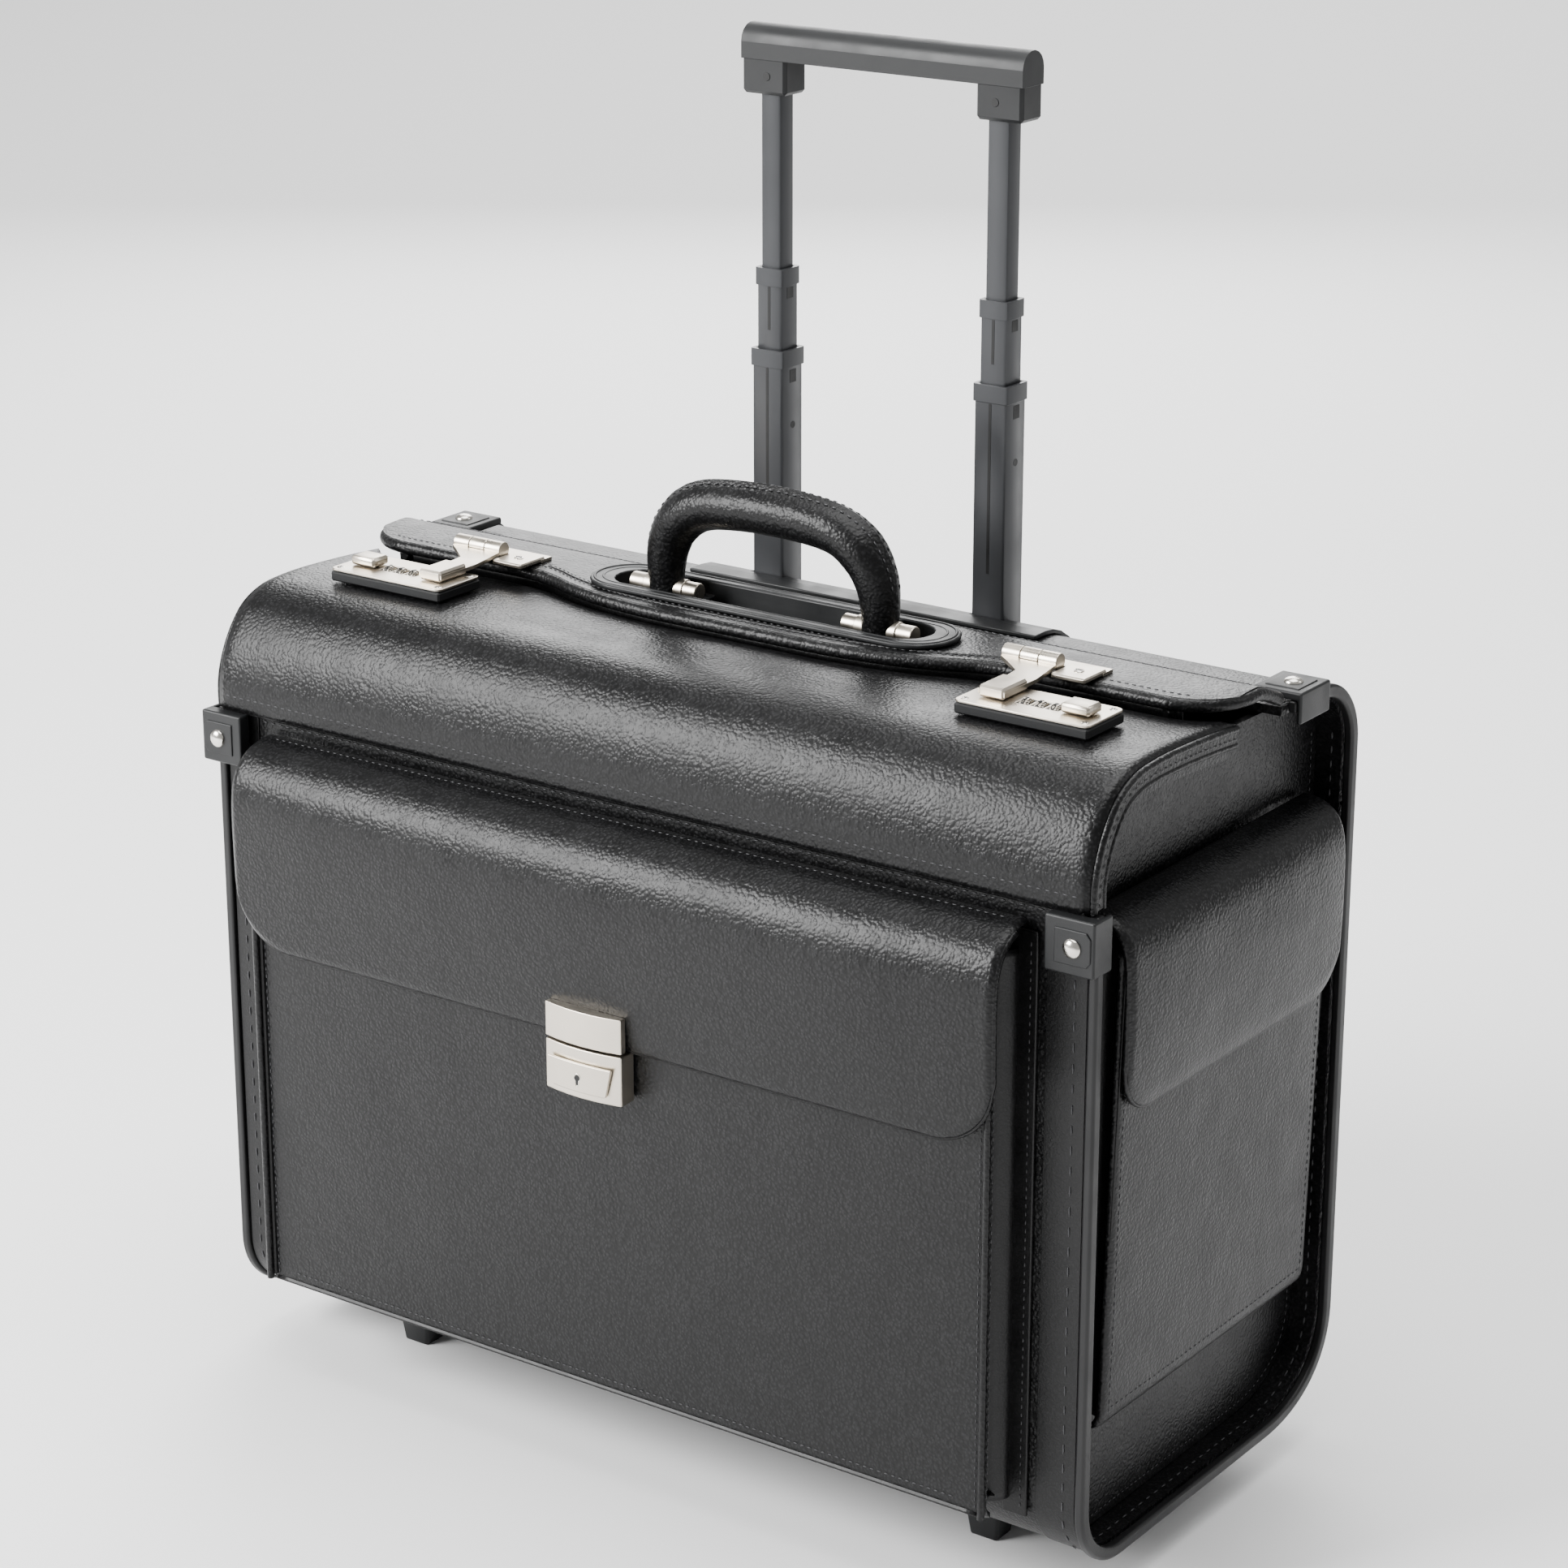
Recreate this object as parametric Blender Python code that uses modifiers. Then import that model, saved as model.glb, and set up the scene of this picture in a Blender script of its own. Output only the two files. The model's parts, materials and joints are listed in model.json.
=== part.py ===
"""Pilot case on wheels with a telescopic trolley handle.

X is the width, -Y the front, +Z up, metres. The case stands on z = 0 on two
front feet and two rear wheels, lids closed and the trolley partly pulled out.
"""
import bpy
import bmesh
from math import cos, pi, radians, sin, sqrt
from mathutils import Matrix, Vector

GAP = 0.0003

# box body
SHELL_X = 0.2310
END_IN = 0.2150
END_OUT = 0.2185
RIM_X0 = SHELL_X + GAP
RIM_X1 = 0.2360
FRONT = -0.0880
BACK = 0.1235
BOTTOM = 0.0220
TOP = 0.3640
MOUTH = 0.3180
WALL = 0.0040
REAR_EDGE = 0.0635
RIM_PROUD = 0.0025
R_FRONT = 0.030
R_REAR_Y = 0.058
R_REAR_Z = 0.044
R_TOP = 0.030

# corner caps
CAP_X = 0.2385
CAP_W = 0.0235
CAP_FRONT = -0.0975
CAP_Z0 = 0.2940
CAP_Z1 = 0.3180
CAP_SIDE = 0.0143
REAR_CAP_Y0 = 0.0665
REAR_CAP_Y1 = 0.0925
REAR_CAP_Z = 0.3705

# lids
LID_X = 0.2345
LID_T = 0.0035
LIP_DEPTH = 0.0105
LID_PROFILE = [
    (-0.0926, 0.3186), (-0.0928, 0.3235), (-0.0925, 0.3300), (-0.0912, 0.3365),
    (-0.0885, 0.3440), (-0.0848, 0.3512), (-0.0800, 0.3580), (-0.0742, 0.3640),
    (-0.0665, 0.3685), (-0.0575, 0.3712), (-0.0470, 0.3722), (-0.0350, 0.3725),
    (-0.0180, 0.3720), (0.0020, 0.3709), (0.0220, 0.3693),
]
FRONT_HINGE = (-0.0937, 0.3188)
REAR_HINGE = (0.0610, 0.3665)
REAR_FRONT_EDGE = 0.0060
REAR_Z0 = 0.3728
REAR_Z1 = 0.3790
REAR_OUTLINE = [
    (0.0, -0.0135), (0.030, -0.0135), (0.050, -0.0130), (0.070, -0.0108),
    (0.085, -0.0078), (0.099, -0.0035), (0.110, 0.0012), (0.120, 0.0042),
    (0.132, REAR_FRONT_EDGE), (0.205, REAR_FRONT_EDGE),
]
REAR_CORNER_C = (0.2050, 0.0360)

# carry handle
HANDLE_Y = 0.0175
HANDLE_Z = 0.3795
OVAL_L = 0.0965
OVAL_W = 0.0200
TRAY_L = 0.0905
TRAY_W = 0.0165
SLOT_L = 0.0840
SLOT_W = 0.0125
ARCH = [
    (0.0575, 0.3757), (0.0577, 0.3805), (0.0580, 0.3880), (0.0568, 0.3980),
    (0.0528, 0.4075), (0.0455, 0.4155), (0.0350, 0.4205), (0.0180, 0.4228),
    (0.0, 0.4234),
]

# combination locks and hasps
LOCK_X = 0.1700
LOCK_Y = -0.0320
LOCK_W = 0.0322
LOCK_D = 0.0147
LOCK_Z0 = 0.3731
LOCK_Z1 = 0.3778
PLATE_Z = 0.3793
DIAL_R = 0.0040
DIAL_Z = 0.3770
DIAL_PITCH = 0.0072
KNOB_X = 0.1905
HASP_Y = 0.0105
HASP_Z = 0.3835
HASP_R = 0.0036
HASP_X = {"r": 0.1405, "l": -0.1600}

# front pocket
POCKET_X = 0.2000
POCKET_Y = -0.1120
POCKET_Z0 = 0.0450
POCKET_Z1 = 0.2975
FLAP_X = 0.2045
FLAP_Z0 = 0.2170
FLAP_T = 0.0028
FLAP_R = 0.030
FLAP_HINGE = (-0.0912, 0.3098)
LOCK_HALF = 0.0205

# side pockets
SIDE_Y0 = -0.0720
SIDE_Y1 = 0.1045
SIDE_Z0 = 0.0810
SIDE_Z1 = 0.2965
SIDE_FLAP_Z0 = 0.2260
SIDE_HINGE = (0.2225, 0.3118)

# trolley
POST_X = 0.0607
POST_Y = 0.1070
FIXED = (0.0204, 0.0196)
STAGE = [(0.0172, 0.0164), (0.0140, 0.0134), (0.0112, 0.0108)]
STAGE_WALL = [0.0012, 0.0011, 0.0010]
STAGE_TOP = [0.4725, 0.5100, 0.5960]
STAGE_LEN = 0.3100
COLLAR_H = 0.0080
COLLAR_T = 0.0007
GRIP_X = 0.0748
GRIP_Z = (0.5890, 0.6200)
BEZEL_X = 0.0955

# wheels and feet
WHEEL_X = 0.1650
WHEEL_Y = 0.0925
WHEEL_R = 0.0250
WHEEL_W = 0.0180
AXLE_R = 0.0025
HOUSING_W = 0.0145
FOOT_X = 0.1620
FOOT_Y = -0.0445

SIDES = (("l", -1.0), ("r", 1.0))


def clear():
    for ob in list(bpy.data.objects):
        bpy.data.objects.remove(ob, do_unlink=True)


def collection(name):
    col = bpy.data.collections.new(name)
    bpy.context.scene.collection.children.link(col)
    return col


def material(name, colour, roughness, metallic=0.0):
    mat = bpy.data.materials.new(name)
    mat.use_nodes = True
    shader = mat.node_tree.nodes["Principled BSDF"]
    shader.inputs["Base Color"].default_value = (*colour, 1.0)
    shader.inputs["Roughness"].default_value = roughness
    shader.inputs["Metallic"].default_value = metallic
    return mat


LOOKS = {
    "leather": ((0.012, 0.012, 0.013), 0.42, 0.0),
    "binding": ((0.018, 0.018, 0.020), 0.55, 0.0),
    "plastic": ((0.035, 0.037, 0.040), 0.60, 0.0),
    "nickel": ((0.72, 0.69, 0.64), 0.28, 1.0),
    "tube": ((0.060, 0.062, 0.066), 0.45, 0.6),
    "rubber": ((0.015, 0.015, 0.015), 0.80, 0.0),
    "lining": ((0.030, 0.030, 0.032), 0.90, 0.0),
}


def finish(bm, name, look, origin=(0, 0, 0), closed=True):
    """Turn a bmesh in world coordinates into an object whose origin is at origin."""
    if closed:
        bmesh.ops.recalc_face_normals(bm, faces=bm.faces)
    bmesh.ops.translate(bm, verts=bm.verts, vec=-Vector(origin))
    mesh = bpy.data.meshes.new(name)
    bm.to_mesh(mesh)
    bm.free()
    ob = bpy.data.objects.new(name, mesh)
    ob.location = origin
    PARTS.objects.link(ob)
    ob.data.materials.append(material(name, *LOOKS[look]))
    return ob


def cutter(bm, name, closed=True):
    if closed:
        bmesh.ops.recalc_face_normals(bm, faces=bm.faces)
    mesh = bpy.data.meshes.new(name)
    bm.to_mesh(mesh)
    bm.free()
    ob = bpy.data.objects.new(name, mesh)
    CUTTERS.objects.link(ob)
    ob.hide_render = True
    ob.display_type = "WIRE"
    return ob


def boolean(ob, tool, operation="DIFFERENCE"):
    mod = ob.modifiers.new(tool.name, "BOOLEAN")
    mod.object = tool
    mod.operation = operation
    mod.solver = "EXACT"
    return mod


def solidify(ob, thickness):
    """Thicken an open surface against its normals."""
    mod = ob.modifiers.new("thickness", "SOLIDIFY")
    mod.thickness = thickness
    mod.offset = -1
    mod.use_even_offset = True
    return ob


def box_mesh(x0, x1, y0, y1, z0, z1, bevel=0.0, segments=1):
    bm = bmesh.new()
    bmesh.ops.create_cube(bm, size=1.0)
    bmesh.ops.scale(bm, verts=bm.verts, vec=(x1 - x0, y1 - y0, z1 - z0))
    bmesh.ops.translate(
        bm, verts=bm.verts, vec=((x1 + x0) / 2, (y1 + y0) / 2, (z1 + z0) / 2))
    if bevel:
        bmesh.ops.bevel(
            bm, geom=bm.edges, offset=bevel, segments=segments,
            affect="EDGES", profile=0.5, clamp_overlap=True,
        )
    return bm


def corners_only(points):
    """Drop the points of a closed outline that lie on a straight run."""
    out = []
    n = len(points)
    for i, p in enumerate(points):
        a = Vector(points[i - 1]) - Vector(p)
        b = Vector(points[(i + 1) % n]) - Vector(p)
        if abs(a[0] * b[1] - a[1] * b[0]) > 1e-5 * a.length * b.length:
            out.append(p)
    return out


def on_plane(p, h, axis):
    if axis == "X":
        return (h, p[0], p[1])
    if axis == "Y":
        return (p[0], h, p[1])
    return (p[0], p[1], h)


def prism(points, low, high, axis):
    """Extrude a closed outline along axis; the outline holds the other two coordinates."""
    bm = bmesh.new()
    face = bm.faces.new([bm.verts.new(on_plane(p, low, axis)) for p in corners_only(points)])
    grown = bmesh.ops.extrude_face_region(bm, geom=[face])["geom"]
    move = Vector(on_plane((0, 0), high - low, axis))
    bmesh.ops.translate(bm, verts=[v for v in grown if isinstance(v, bmesh.types.BMVert)], vec=move)
    return bm


def strip(path, x0, x1, outside=1.0):
    """Open surface along a YZ path from x0 to x1, its normals on the right of the path."""
    bm = bmesh.new()
    verts = [bm.verts.new((x0, y, z)) for y, z in path]
    edges = [bm.edges.new(pair) for pair in zip(verts, verts[1:])]
    grown = bmesh.ops.extrude_edge_only(bm, edges=edges)["geom"]
    new = [v for v in grown if isinstance(v, bmesh.types.BMVert)]
    bmesh.ops.translate(bm, verts=new, vec=(x1 - x0, 0, 0))
    bm.normal_update()
    t = verts[1].co - verts[0].co
    right = Vector((0, t[2], -t[1]))
    if edges[0].link_faces[0].normal.dot(right) * outside < 0:
        bmesh.ops.reverse_faces(bm, faces=bm.faces)
    return bm


def grid(columns, rows, place):
    """Open surface of columns by rows cells; place(u, v) gives the point for 0 to 1 each way."""
    bm = bmesh.new()
    bmesh.ops.create_grid(bm, x_segments=columns, y_segments=rows, size=0.5)
    for v in bm.verts:
        v.co = place(v.co.x + 0.5, v.co.y + 0.5)
    return bm


def face_away(bm, point):
    """Turn an open surface's normals away from point."""
    bm.normal_update()
    total = sum((f.normal.dot(f.calc_center_median() - Vector(point)) for f in bm.faces), 0.0)
    if total < 0:
        bmesh.ops.reverse_faces(bm, faces=bm.faces)
    return bm


def rod_x(x0, x1, cy, cz, r, n=20):
    bm = bmesh.new()
    bmesh.ops.create_cone(
        bm, cap_ends=True, segments=n, radius1=r, radius2=r, depth=x1 - x0,
        matrix=Matrix.Translation(((x0 + x1) / 2, cy, cz)) @ Matrix.Rotation(pi / 2, 4, "Y"))
    return bm


def ring_x(x0, x1, cy, cz, r0, r1, n=24, chamfer=0.0):
    """Turned ring about an axis along X, with bore radius r0."""
    profile = [(x0, r0), (x0, r1 - chamfer), (x0 + chamfer, r1), (x1 - chamfer, r1),
               (x1, r1 - chamfer), (x1, r0)]
    bm = bmesh.new()
    verts = [bm.verts.new((x, cy, cz - r)) for x, r in profile]
    edges = [bm.edges.new((verts[i - 1], verts[i])) for i in range(len(verts))]
    bmesh.ops.spin(
        bm, geom=verts + edges, cent=(0, cy, cz), axis=(1, 0, 0), angle=2 * pi, steps=n,
        use_merge=True, use_normal_flip=False)
    bmesh.ops.remove_doubles(bm, verts=bm.verts, dist=1e-6)
    return bm


def loft(loops):
    """Skin equal-length rings of points and close both ends."""
    bm = bmesh.new()
    rings = [[bm.verts.new(p) for p in loop] for loop in loops]
    n = len(rings[0])
    for a, b in zip(rings, rings[1:]):
        for i in range(n):
            bm.faces.new((a[i], a[(i + 1) % n], b[(i + 1) % n], b[i]))
    ends = [bm.faces.new(rings[0][::-1]), bm.faces.new(rings[-1])]
    bmesh.ops.triangulate(bm, faces=ends)
    return bm


def shortened(path, d):
    """Draw both ends of an open path in by d."""
    a = Vector(path[0])
    b = Vector(path[-1])
    a += (Vector(path[1]) - a).normalized() * d
    b += (Vector(path[-2]) - b).normalized() * d
    return [tuple(a)] + path[1:-1] + [tuple(b)]


def arc(cy, cz, ry, rz, start, end, steps, power=2.0):
    """Superellipse arc in degrees, in the order start to end."""
    out = []
    for k in range(steps + 1):
        a = radians(start + (end - start) * k / steps)
        c = cos(a)
        s = sin(a)
        y = cy + ry * (1 if c >= 0 else -1) * abs(c) ** (2 / power)
        z = cz + rz * (1 if s >= 0 else -1) * abs(s) ** (2 / power)
        out.append((y, z))
    return out


def offset_path(path, d):
    """Offset an open (y, z) path to its left by d."""
    out = []
    for i, p in enumerate(path):
        a = Vector(path[max(i - 1, 0)])
        b = Vector(path[min(i + 1, len(path) - 1)])
        t = (b - a).normalized()
        if 0 < i < len(path) - 1:
            t1 = (Vector(p) - a).normalized()
            scale = d / max(0.5, abs(t.dot(t1)))
        else:
            scale = d
        out.append((p[0] - t[1] * scale, p[1] + t[0] * scale))
    return out


def rounded_rect(w, d, r, cx, cy, steps=2):
    pts = []
    for sx, sy, a0 in ((1, 1, 0), (-1, 1, 90), (-1, -1, 180), (1, -1, 270)):
        for k in range(steps + 1):
            a = radians(a0 + 90 * k / steps)
            pts.append((cx + sx * (w / 2 - r) + r * cos(a), cy + sy * (d / 2 - r) + r * sin(a)))
    return pts


def stadium(cx, cy, half_l, half_w, steps=10):
    pts = []
    for sx, a0 in ((1, -90), (-1, 90)):
        for k in range(steps + 1):
            a = radians(a0 + 180 * k / steps)
            pts.append((cx + sx * (half_l - half_w) + half_w * cos(a), cy + half_w * sin(a)))
    return pts


def shell_path():
    path = [(FRONT, MOUTH), (FRONT, 0.18)]
    path += arc(FRONT + R_FRONT, BOTTOM + R_FRONT, R_FRONT, R_FRONT, 180, 270, 7)
    path += [(0.0, BOTTOM)]
    path += arc(BACK - R_REAR_Y, BOTTOM + R_REAR_Z, R_REAR_Y, R_REAR_Z, 270, 360, 12, 2.3)
    path += [(BACK, 0.20)]
    path += arc(BACK - R_TOP, TOP - R_TOP, R_TOP, R_TOP, 0, 90, 7)
    path += [(REAR_EDGE, TOP)]
    return path


def lid_offset(d, x=0.0, bulge=0.0):
    """The lid's profile moved inwards by d, bulging outwards over the front curve."""
    path = offset_path(LID_PROFILE, -d)
    if not bulge:
        return path
    flat = max(0.0, 1 - (abs(x) / LID_X) ** 3)
    moved = offset_path(LID_PROFILE, -d + 1.0)
    out = []
    n = len(path)
    for i, (p, q) in enumerate(zip(path, moved)):
        u = i / (n - 1)
        w = bulge * flat * sin(pi * min(1.0, u / 0.75)) ** 2 if u < 0.75 else 0.0
        out.append((p[0] + (q[0] - p[0]) * w, p[1] + (q[1] - p[1]) * w))
    return out


def rear_outline(grow=0.0, back=0.0600):
    """The rear lid seen from above, grown outwards by grow."""
    half = [(x, y - grow) for x, y in REAR_OUTLINE]
    cx, cy = REAR_CORNER_C
    rx = LID_X - cx + grow
    ry = cy - REAR_FRONT_EDGE + grow
    for k in range(1, 9):
        a = radians(-90 + 90 * k / 8)
        half.append((cx + rx * cos(a), cy + ry * sin(a)))
    half.append((LID_X + grow, back))
    left = [(-x, y) for x, y in half[:0:-1]]
    return half, left


def make_body():
    path = shell_path()
    bm = strip(path, -SHELL_X, SHELL_X)
    ob = solidify(finish(bm, "shell", "leather", closed=False), WALL)
    for s, sign in SIDES:
        w = HOUSING_W + GAP
        x = sign * WHEEL_X
        boolean(ob, cutter(
            box_mesh(x - w, x + w, 0.0592, 0.1400, 0.0, 0.0578), "wheel_well_" + s))
        w = STAGE[0][0] / 2 + 0.00035
        d = STAGE[0][1] / 2 + 0.00035
        x = sign * POST_X
        boolean(ob, cutter(
            box_mesh(x - w, x + w, POST_Y - d, POST_Y + d, 0.340, 0.380), "post_hole_" + s))

    start = [(FRONT, 0.3176)]
    rim = start + path[1:-1] + [(REAR_CAP_Y0 - 0.004, TOP)]
    for s, sign in SIDES:
        lo, hi = sorted((sign * RIM_X0, sign * RIM_X1))
        bm = strip(offset_path(rim, -RIM_PROUD), lo, hi)
        solidify(finish(bm, "rim_" + s, "plastic", closed=False), RIM_PROUD + 0.0035)

    inner = offset_path(path, WALL + GAP)
    lower = [p for p in inner[1:-2]]
    top = lid_offset(LIP_DEPTH + 0.0004)
    top = [p for p in top if p[1] > MOUTH + 0.0005]
    top = top[::-1]
    outline = [(inner[0][0], MOUTH - 0.001)] + lower
    outline += [(0.0900, top[0][1] - 0.0010), (0.0500, top[0][1])] + top
    outline += [(top[-1][0], MOUTH - 0.001)]
    for s, sign in SIDES:
        lo, hi = sorted((sign * END_IN, sign * END_OUT))
        ob = finish(prism(outline, lo, hi, "X"), "end_panel_" + s, "leather")
        lo, hi = sorted((sign * (END_IN + 0.001), sign * 0.2305))
        bead = shortened(offset_path(top, 0.0003), 0.0012)
        tool = cutter(strip(bead, lo, hi), "end_bead_" + s, closed=False)
        boolean(ob, solidify(tool, 0.0052), "UNION")

    for s, sign in SIDES:
        x0 = sign * (CAP_X - CAP_W)
        x1 = sign * CAP_X
        xi = sign * (RIM_X1 + GAP)
        f = FRONT - RIM_PROUD - GAP
        pts = [(x0, CAP_FRONT), (x1, CAP_FRONT), (x1, CAP_FRONT + CAP_SIDE),
               (xi, CAP_FRONT + CAP_SIDE), (xi, f), (x0, f)]
        finish(prism(pts, CAP_Z0, CAP_Z1, "Z"), "cap_front_" + s, "plastic")
        t = TOP + RIM_PROUD + GAP
        pts = [(x0, REAR_CAP_Z), (x1, REAR_CAP_Z), (x1, 0.3565), (xi, 0.3565), (xi, t), (x0, t)]
        finish(prism(pts, REAR_CAP_Y0, REAR_CAP_Y1, "Y"), "cap_rear_" + s, "plastic")

    bm = box_mesh(-0.2145, 0.2145, 0.0895, 0.0915, 0.0310, 0.3590)
    ob = finish(bm, "partition", "lining")
    for s, sign in SIDES:
        x = sign * WHEEL_X
        boolean(ob, cutter(
            box_mesh(x - 0.0150, x + 0.0150, 0.08, 0.10, 0.0, 0.0580), "partition_notch_" + s))


def make_running_gear():
    outer = offset_path(shell_path(), 0.0002)
    low = [p for p in outer if p[0] > 0.060 and p[1] < 0.0570]
    for s, sign in SIDES:
        x = sign * WHEEL_X
        pts = [(0.0595, low[0][1])] + low + [(BACK - 0.0002, 0.0575), (0.0595, 0.0575)]
        ob = finish(prism(pts, x - HOUSING_W, x + HOUSING_W, "X"), "wheel_housing_" + s, "plastic")
        w = WHEEL_W / 2 + 0.0010
        boolean(ob, cutter(
            box_mesh(x - w, x + w, 0.0615, 0.1400, -0.01, 0.0555), "wheel_void_" + s))
        boolean(ob, cutter(
            rod_x(x - w - 0.003, x + w + 0.003, WHEEL_Y, WHEEL_R, AXLE_R, 16),
            "wheel_axle_" + s), "UNION")
        bm = ring_x(x - WHEEL_W / 2, x + WHEEL_W / 2, WHEEL_Y, WHEEL_R,
                    AXLE_R + GAP, WHEEL_R, 36, 0.0025)
        finish(bm, "wheel_" + s, "rubber", (x, WHEEL_Y, WHEEL_R))

        x = sign * FOOT_X
        pts = rounded_rect(0.0200, 0.0180, 0.002, x, FOOT_Y, 2)
        bm = prism(pts, 0.0, BOTTOM - GAP, "Z")
        sole = [v for v in bm.verts if v.co.z < 0.001]
        bmesh.ops.scale(
            bm, verts=sole, vec=(0.70, 0.70, 1.0), space=Matrix.Translation((-x, -FOOT_Y, 0)))
        finish(bm, "foot_" + s, "plastic")


def tube(name, cx, size, wall, z0, z1, collar):
    w, d = size
    ob = finish(prism(rounded_rect(w, d, 0.0016, cx, POST_Y), z0, z1, "Z"), name, "tube")
    if collar:
        t = 2 * COLLAR_T
        pts = rounded_rect(w + t, d + t, 0.0016, cx, POST_Y)
        boolean(ob, cutter(prism(pts, z1 - COLLAR_H, z1, "Z"), name + "_collar"), "UNION")
    pts = rounded_rect(w - 2 * wall, d - 2 * wall, 0.0006, cx, POST_Y)
    boolean(ob, cutter(prism(pts, z0 - 0.01, z1 + 0.01, "Z"), name + "_bore"))
    return ob


def make_trolley():
    for s, sign in SIDES:
        x = sign * POST_X
        tube("tube_fixed_" + s, x, FIXED, 0.0013, 0.0560, 0.3440, False)
        for k in range(3):
            z1 = STAGE_TOP[k]
            tube("stage%d_%s" % (k + 1, s), x, STAGE[k], STAGE_WALL[k],
                 z1 - STAGE_LEN, z1, k < 2)

    path = [p for p in shell_path() if p[0] > 0.08 and p[1] > 0.32]
    path = [(BACK, 0.3300)] + path + [(0.0845, TOP)]
    bm = strip(offset_path(path, -0.0025), -BEZEL_X, BEZEL_X)
    ob = solidify(finish(bm, "trolley_bezel", "plastic", closed=False), 0.0025 - GAP)
    for s, sign in SIDES:
        x = sign * POST_X
        w = STAGE[0][0] / 2 + GAP
        d = STAGE[0][1] / 2 + GAP
        boolean(ob, cutter(
            box_mesh(x - w, x + w, POST_Y - d, POST_Y + d, 0.350, 0.380), "bezel_hole_" + s))

    z0, z1 = GRIP_Z
    bar = 0.6045
    y0 = POST_Y - 0.0085
    y1 = POST_Y + 0.0085
    outline = [(y0, bar), (y1, bar), (y1, z1 - 0.008)]
    outline += [(POST_Y + 0.0085 * cos(radians(a)), z1 - 0.008 + 0.008 * sin(radians(a)))
                for a in range(20, 180, 20)]
    outline += [(y0, z1 - 0.008)]
    ob = finish(prism(outline, -GRIP_X, GRIP_X, "X"), "grip", "plastic")
    for s, sign in SIDES:
        lo, hi = sorted((sign * 0.0505, sign * (GRIP_X - 0.0002)))
        bm = box_mesh(lo, hi, y0 + 0.0002, y1 - 0.0002, z0, bar + 0.004, 0.0015)
        boolean(ob, cutter(bm, "grip_boss_" + s), "UNION")
        w = STAGE[2][0] / 2 + GAP
        d = STAGE[2][1] / 2 + GAP
        x = sign * POST_X
        boolean(ob, cutter(
            box_mesh(x - w, x + w, POST_Y - d, POST_Y + d, z0 - 0.01, STAGE_TOP[2] + GAP),
            "grip_socket_" + s))


def curved_block(half, y_in, y_out, sag, z0, z1):
    """Block whose front bows outwards about a vertical line."""
    pts = [(-half, y_in), (half, y_in)]
    for k in range(7):
        u = 1 - 2 * k / 6
        pts.append((half * u, y_out - sag * (1 - u * u)))
    return prism(pts, z0, z1, "Z")


def along(path, v):
    """Point at index fraction v of a path."""
    i = min(int(v * (len(path) - 1) + 1e-6), len(path) - 2)
    f = v * (len(path) - 1) - i
    a = Vector(path[i])
    return a + (Vector(path[i + 1]) - a) * f


def flap_point(profile, bend, corner, puff, u, v):
    """Point of a flap: across position, out and down, rounded at its lower corners.

    u runs -1 to 1 across the flap, v 0 to 1 down it; bend is the height below which the flap
    hangs straight, corner the radius as a share of the half width.
    """
    out, z = along(profile, v)
    half = corner[1]
    over = max(0.0, abs(u) * half - (half - corner[0]))
    lift = corner[0] - sqrt(max(0.0, corner[0] ** 2 - over ** 2))
    if z < bend:
        low = profile[-1][1]
        z = bend - (bend - z) * (bend - low - lift) / (bend - low)
    return out + puff * (1 - u ** 4) * sin(pi * v) ** 2, z


def make_front_pocket():
    ob = finish(box_mesh(-POCKET_X, POCKET_X, POCKET_Y, FRONT - GAP, POCKET_Z0, POCKET_Z1, 0.004),
                "pocket_front", "leather")
    boolean(ob, cutter(
        box_mesh(-0.1965, 0.1965, POCKET_Y + 0.003, FRONT - 0.0030, POCKET_Z0 + 0.003, 0.35),
        "pocket_front_void"))

    profile = [(0.0912, 0.3112), (0.0970, 0.3106), (0.1030, 0.3090), (0.1090, 0.3055),
               (0.1140, 0.2995), (0.1170, 0.2915), (0.1180, 0.2800), (0.1178, 0.2600),
               (0.1172, 0.2380), (0.1165, FLAP_Z0)]

    def place(u, v):
        u = sin(pi / 2 * (2 * u - 1))
        out, z = flap_point(profile, 0.2995, (FLAP_R, FLAP_X), 0.0028, u, v)
        return (FLAP_X * u, -out, z)
    bm = face_away(grid(24, len(profile) - 1, place), (0, 0, 0.26))
    hinge = (0.0, FLAP_HINGE[0], FLAP_HINGE[1])
    flap = solidify(finish(bm, "pocket_flap", "leather", hinge, closed=False), FLAP_T)
    plate = finish(curved_block(LOCK_HALF, -0.1180, -0.1215, 0.0025, 0.2176, 0.2335),
                   "flap_plate", "nickel", hinge)
    plate.location = (0, 0, 0)
    plate.parent = flap

    finish(curved_block(LOCK_HALF, POCKET_Y - GAP, -0.1215, 0.0025, 0.1935, FLAP_Z0 - 0.0006),
           "lock_body", "nickel")
    pts = []
    for k in range(9):
        u = 1 - 2 * k / 8
        pts.append((0.0172 * u, -0.1220 - 0.0025 * (1 - (0.0141 * u / LOCK_HALF) ** 2)))
    pts += [(x, y - 0.0015) for x, y in pts[::-1]]
    bm = prism(pts, 0.1972, 0.2105, "Z")
    bmesh.ops.scale(bm, verts=[v for v in bm.verts if v.co.z < 0.2], vec=(0.82, 1, 1))
    finish(bm, "lock_slider", "nickel", (0.0, -0.1240, 0.2040))


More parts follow.
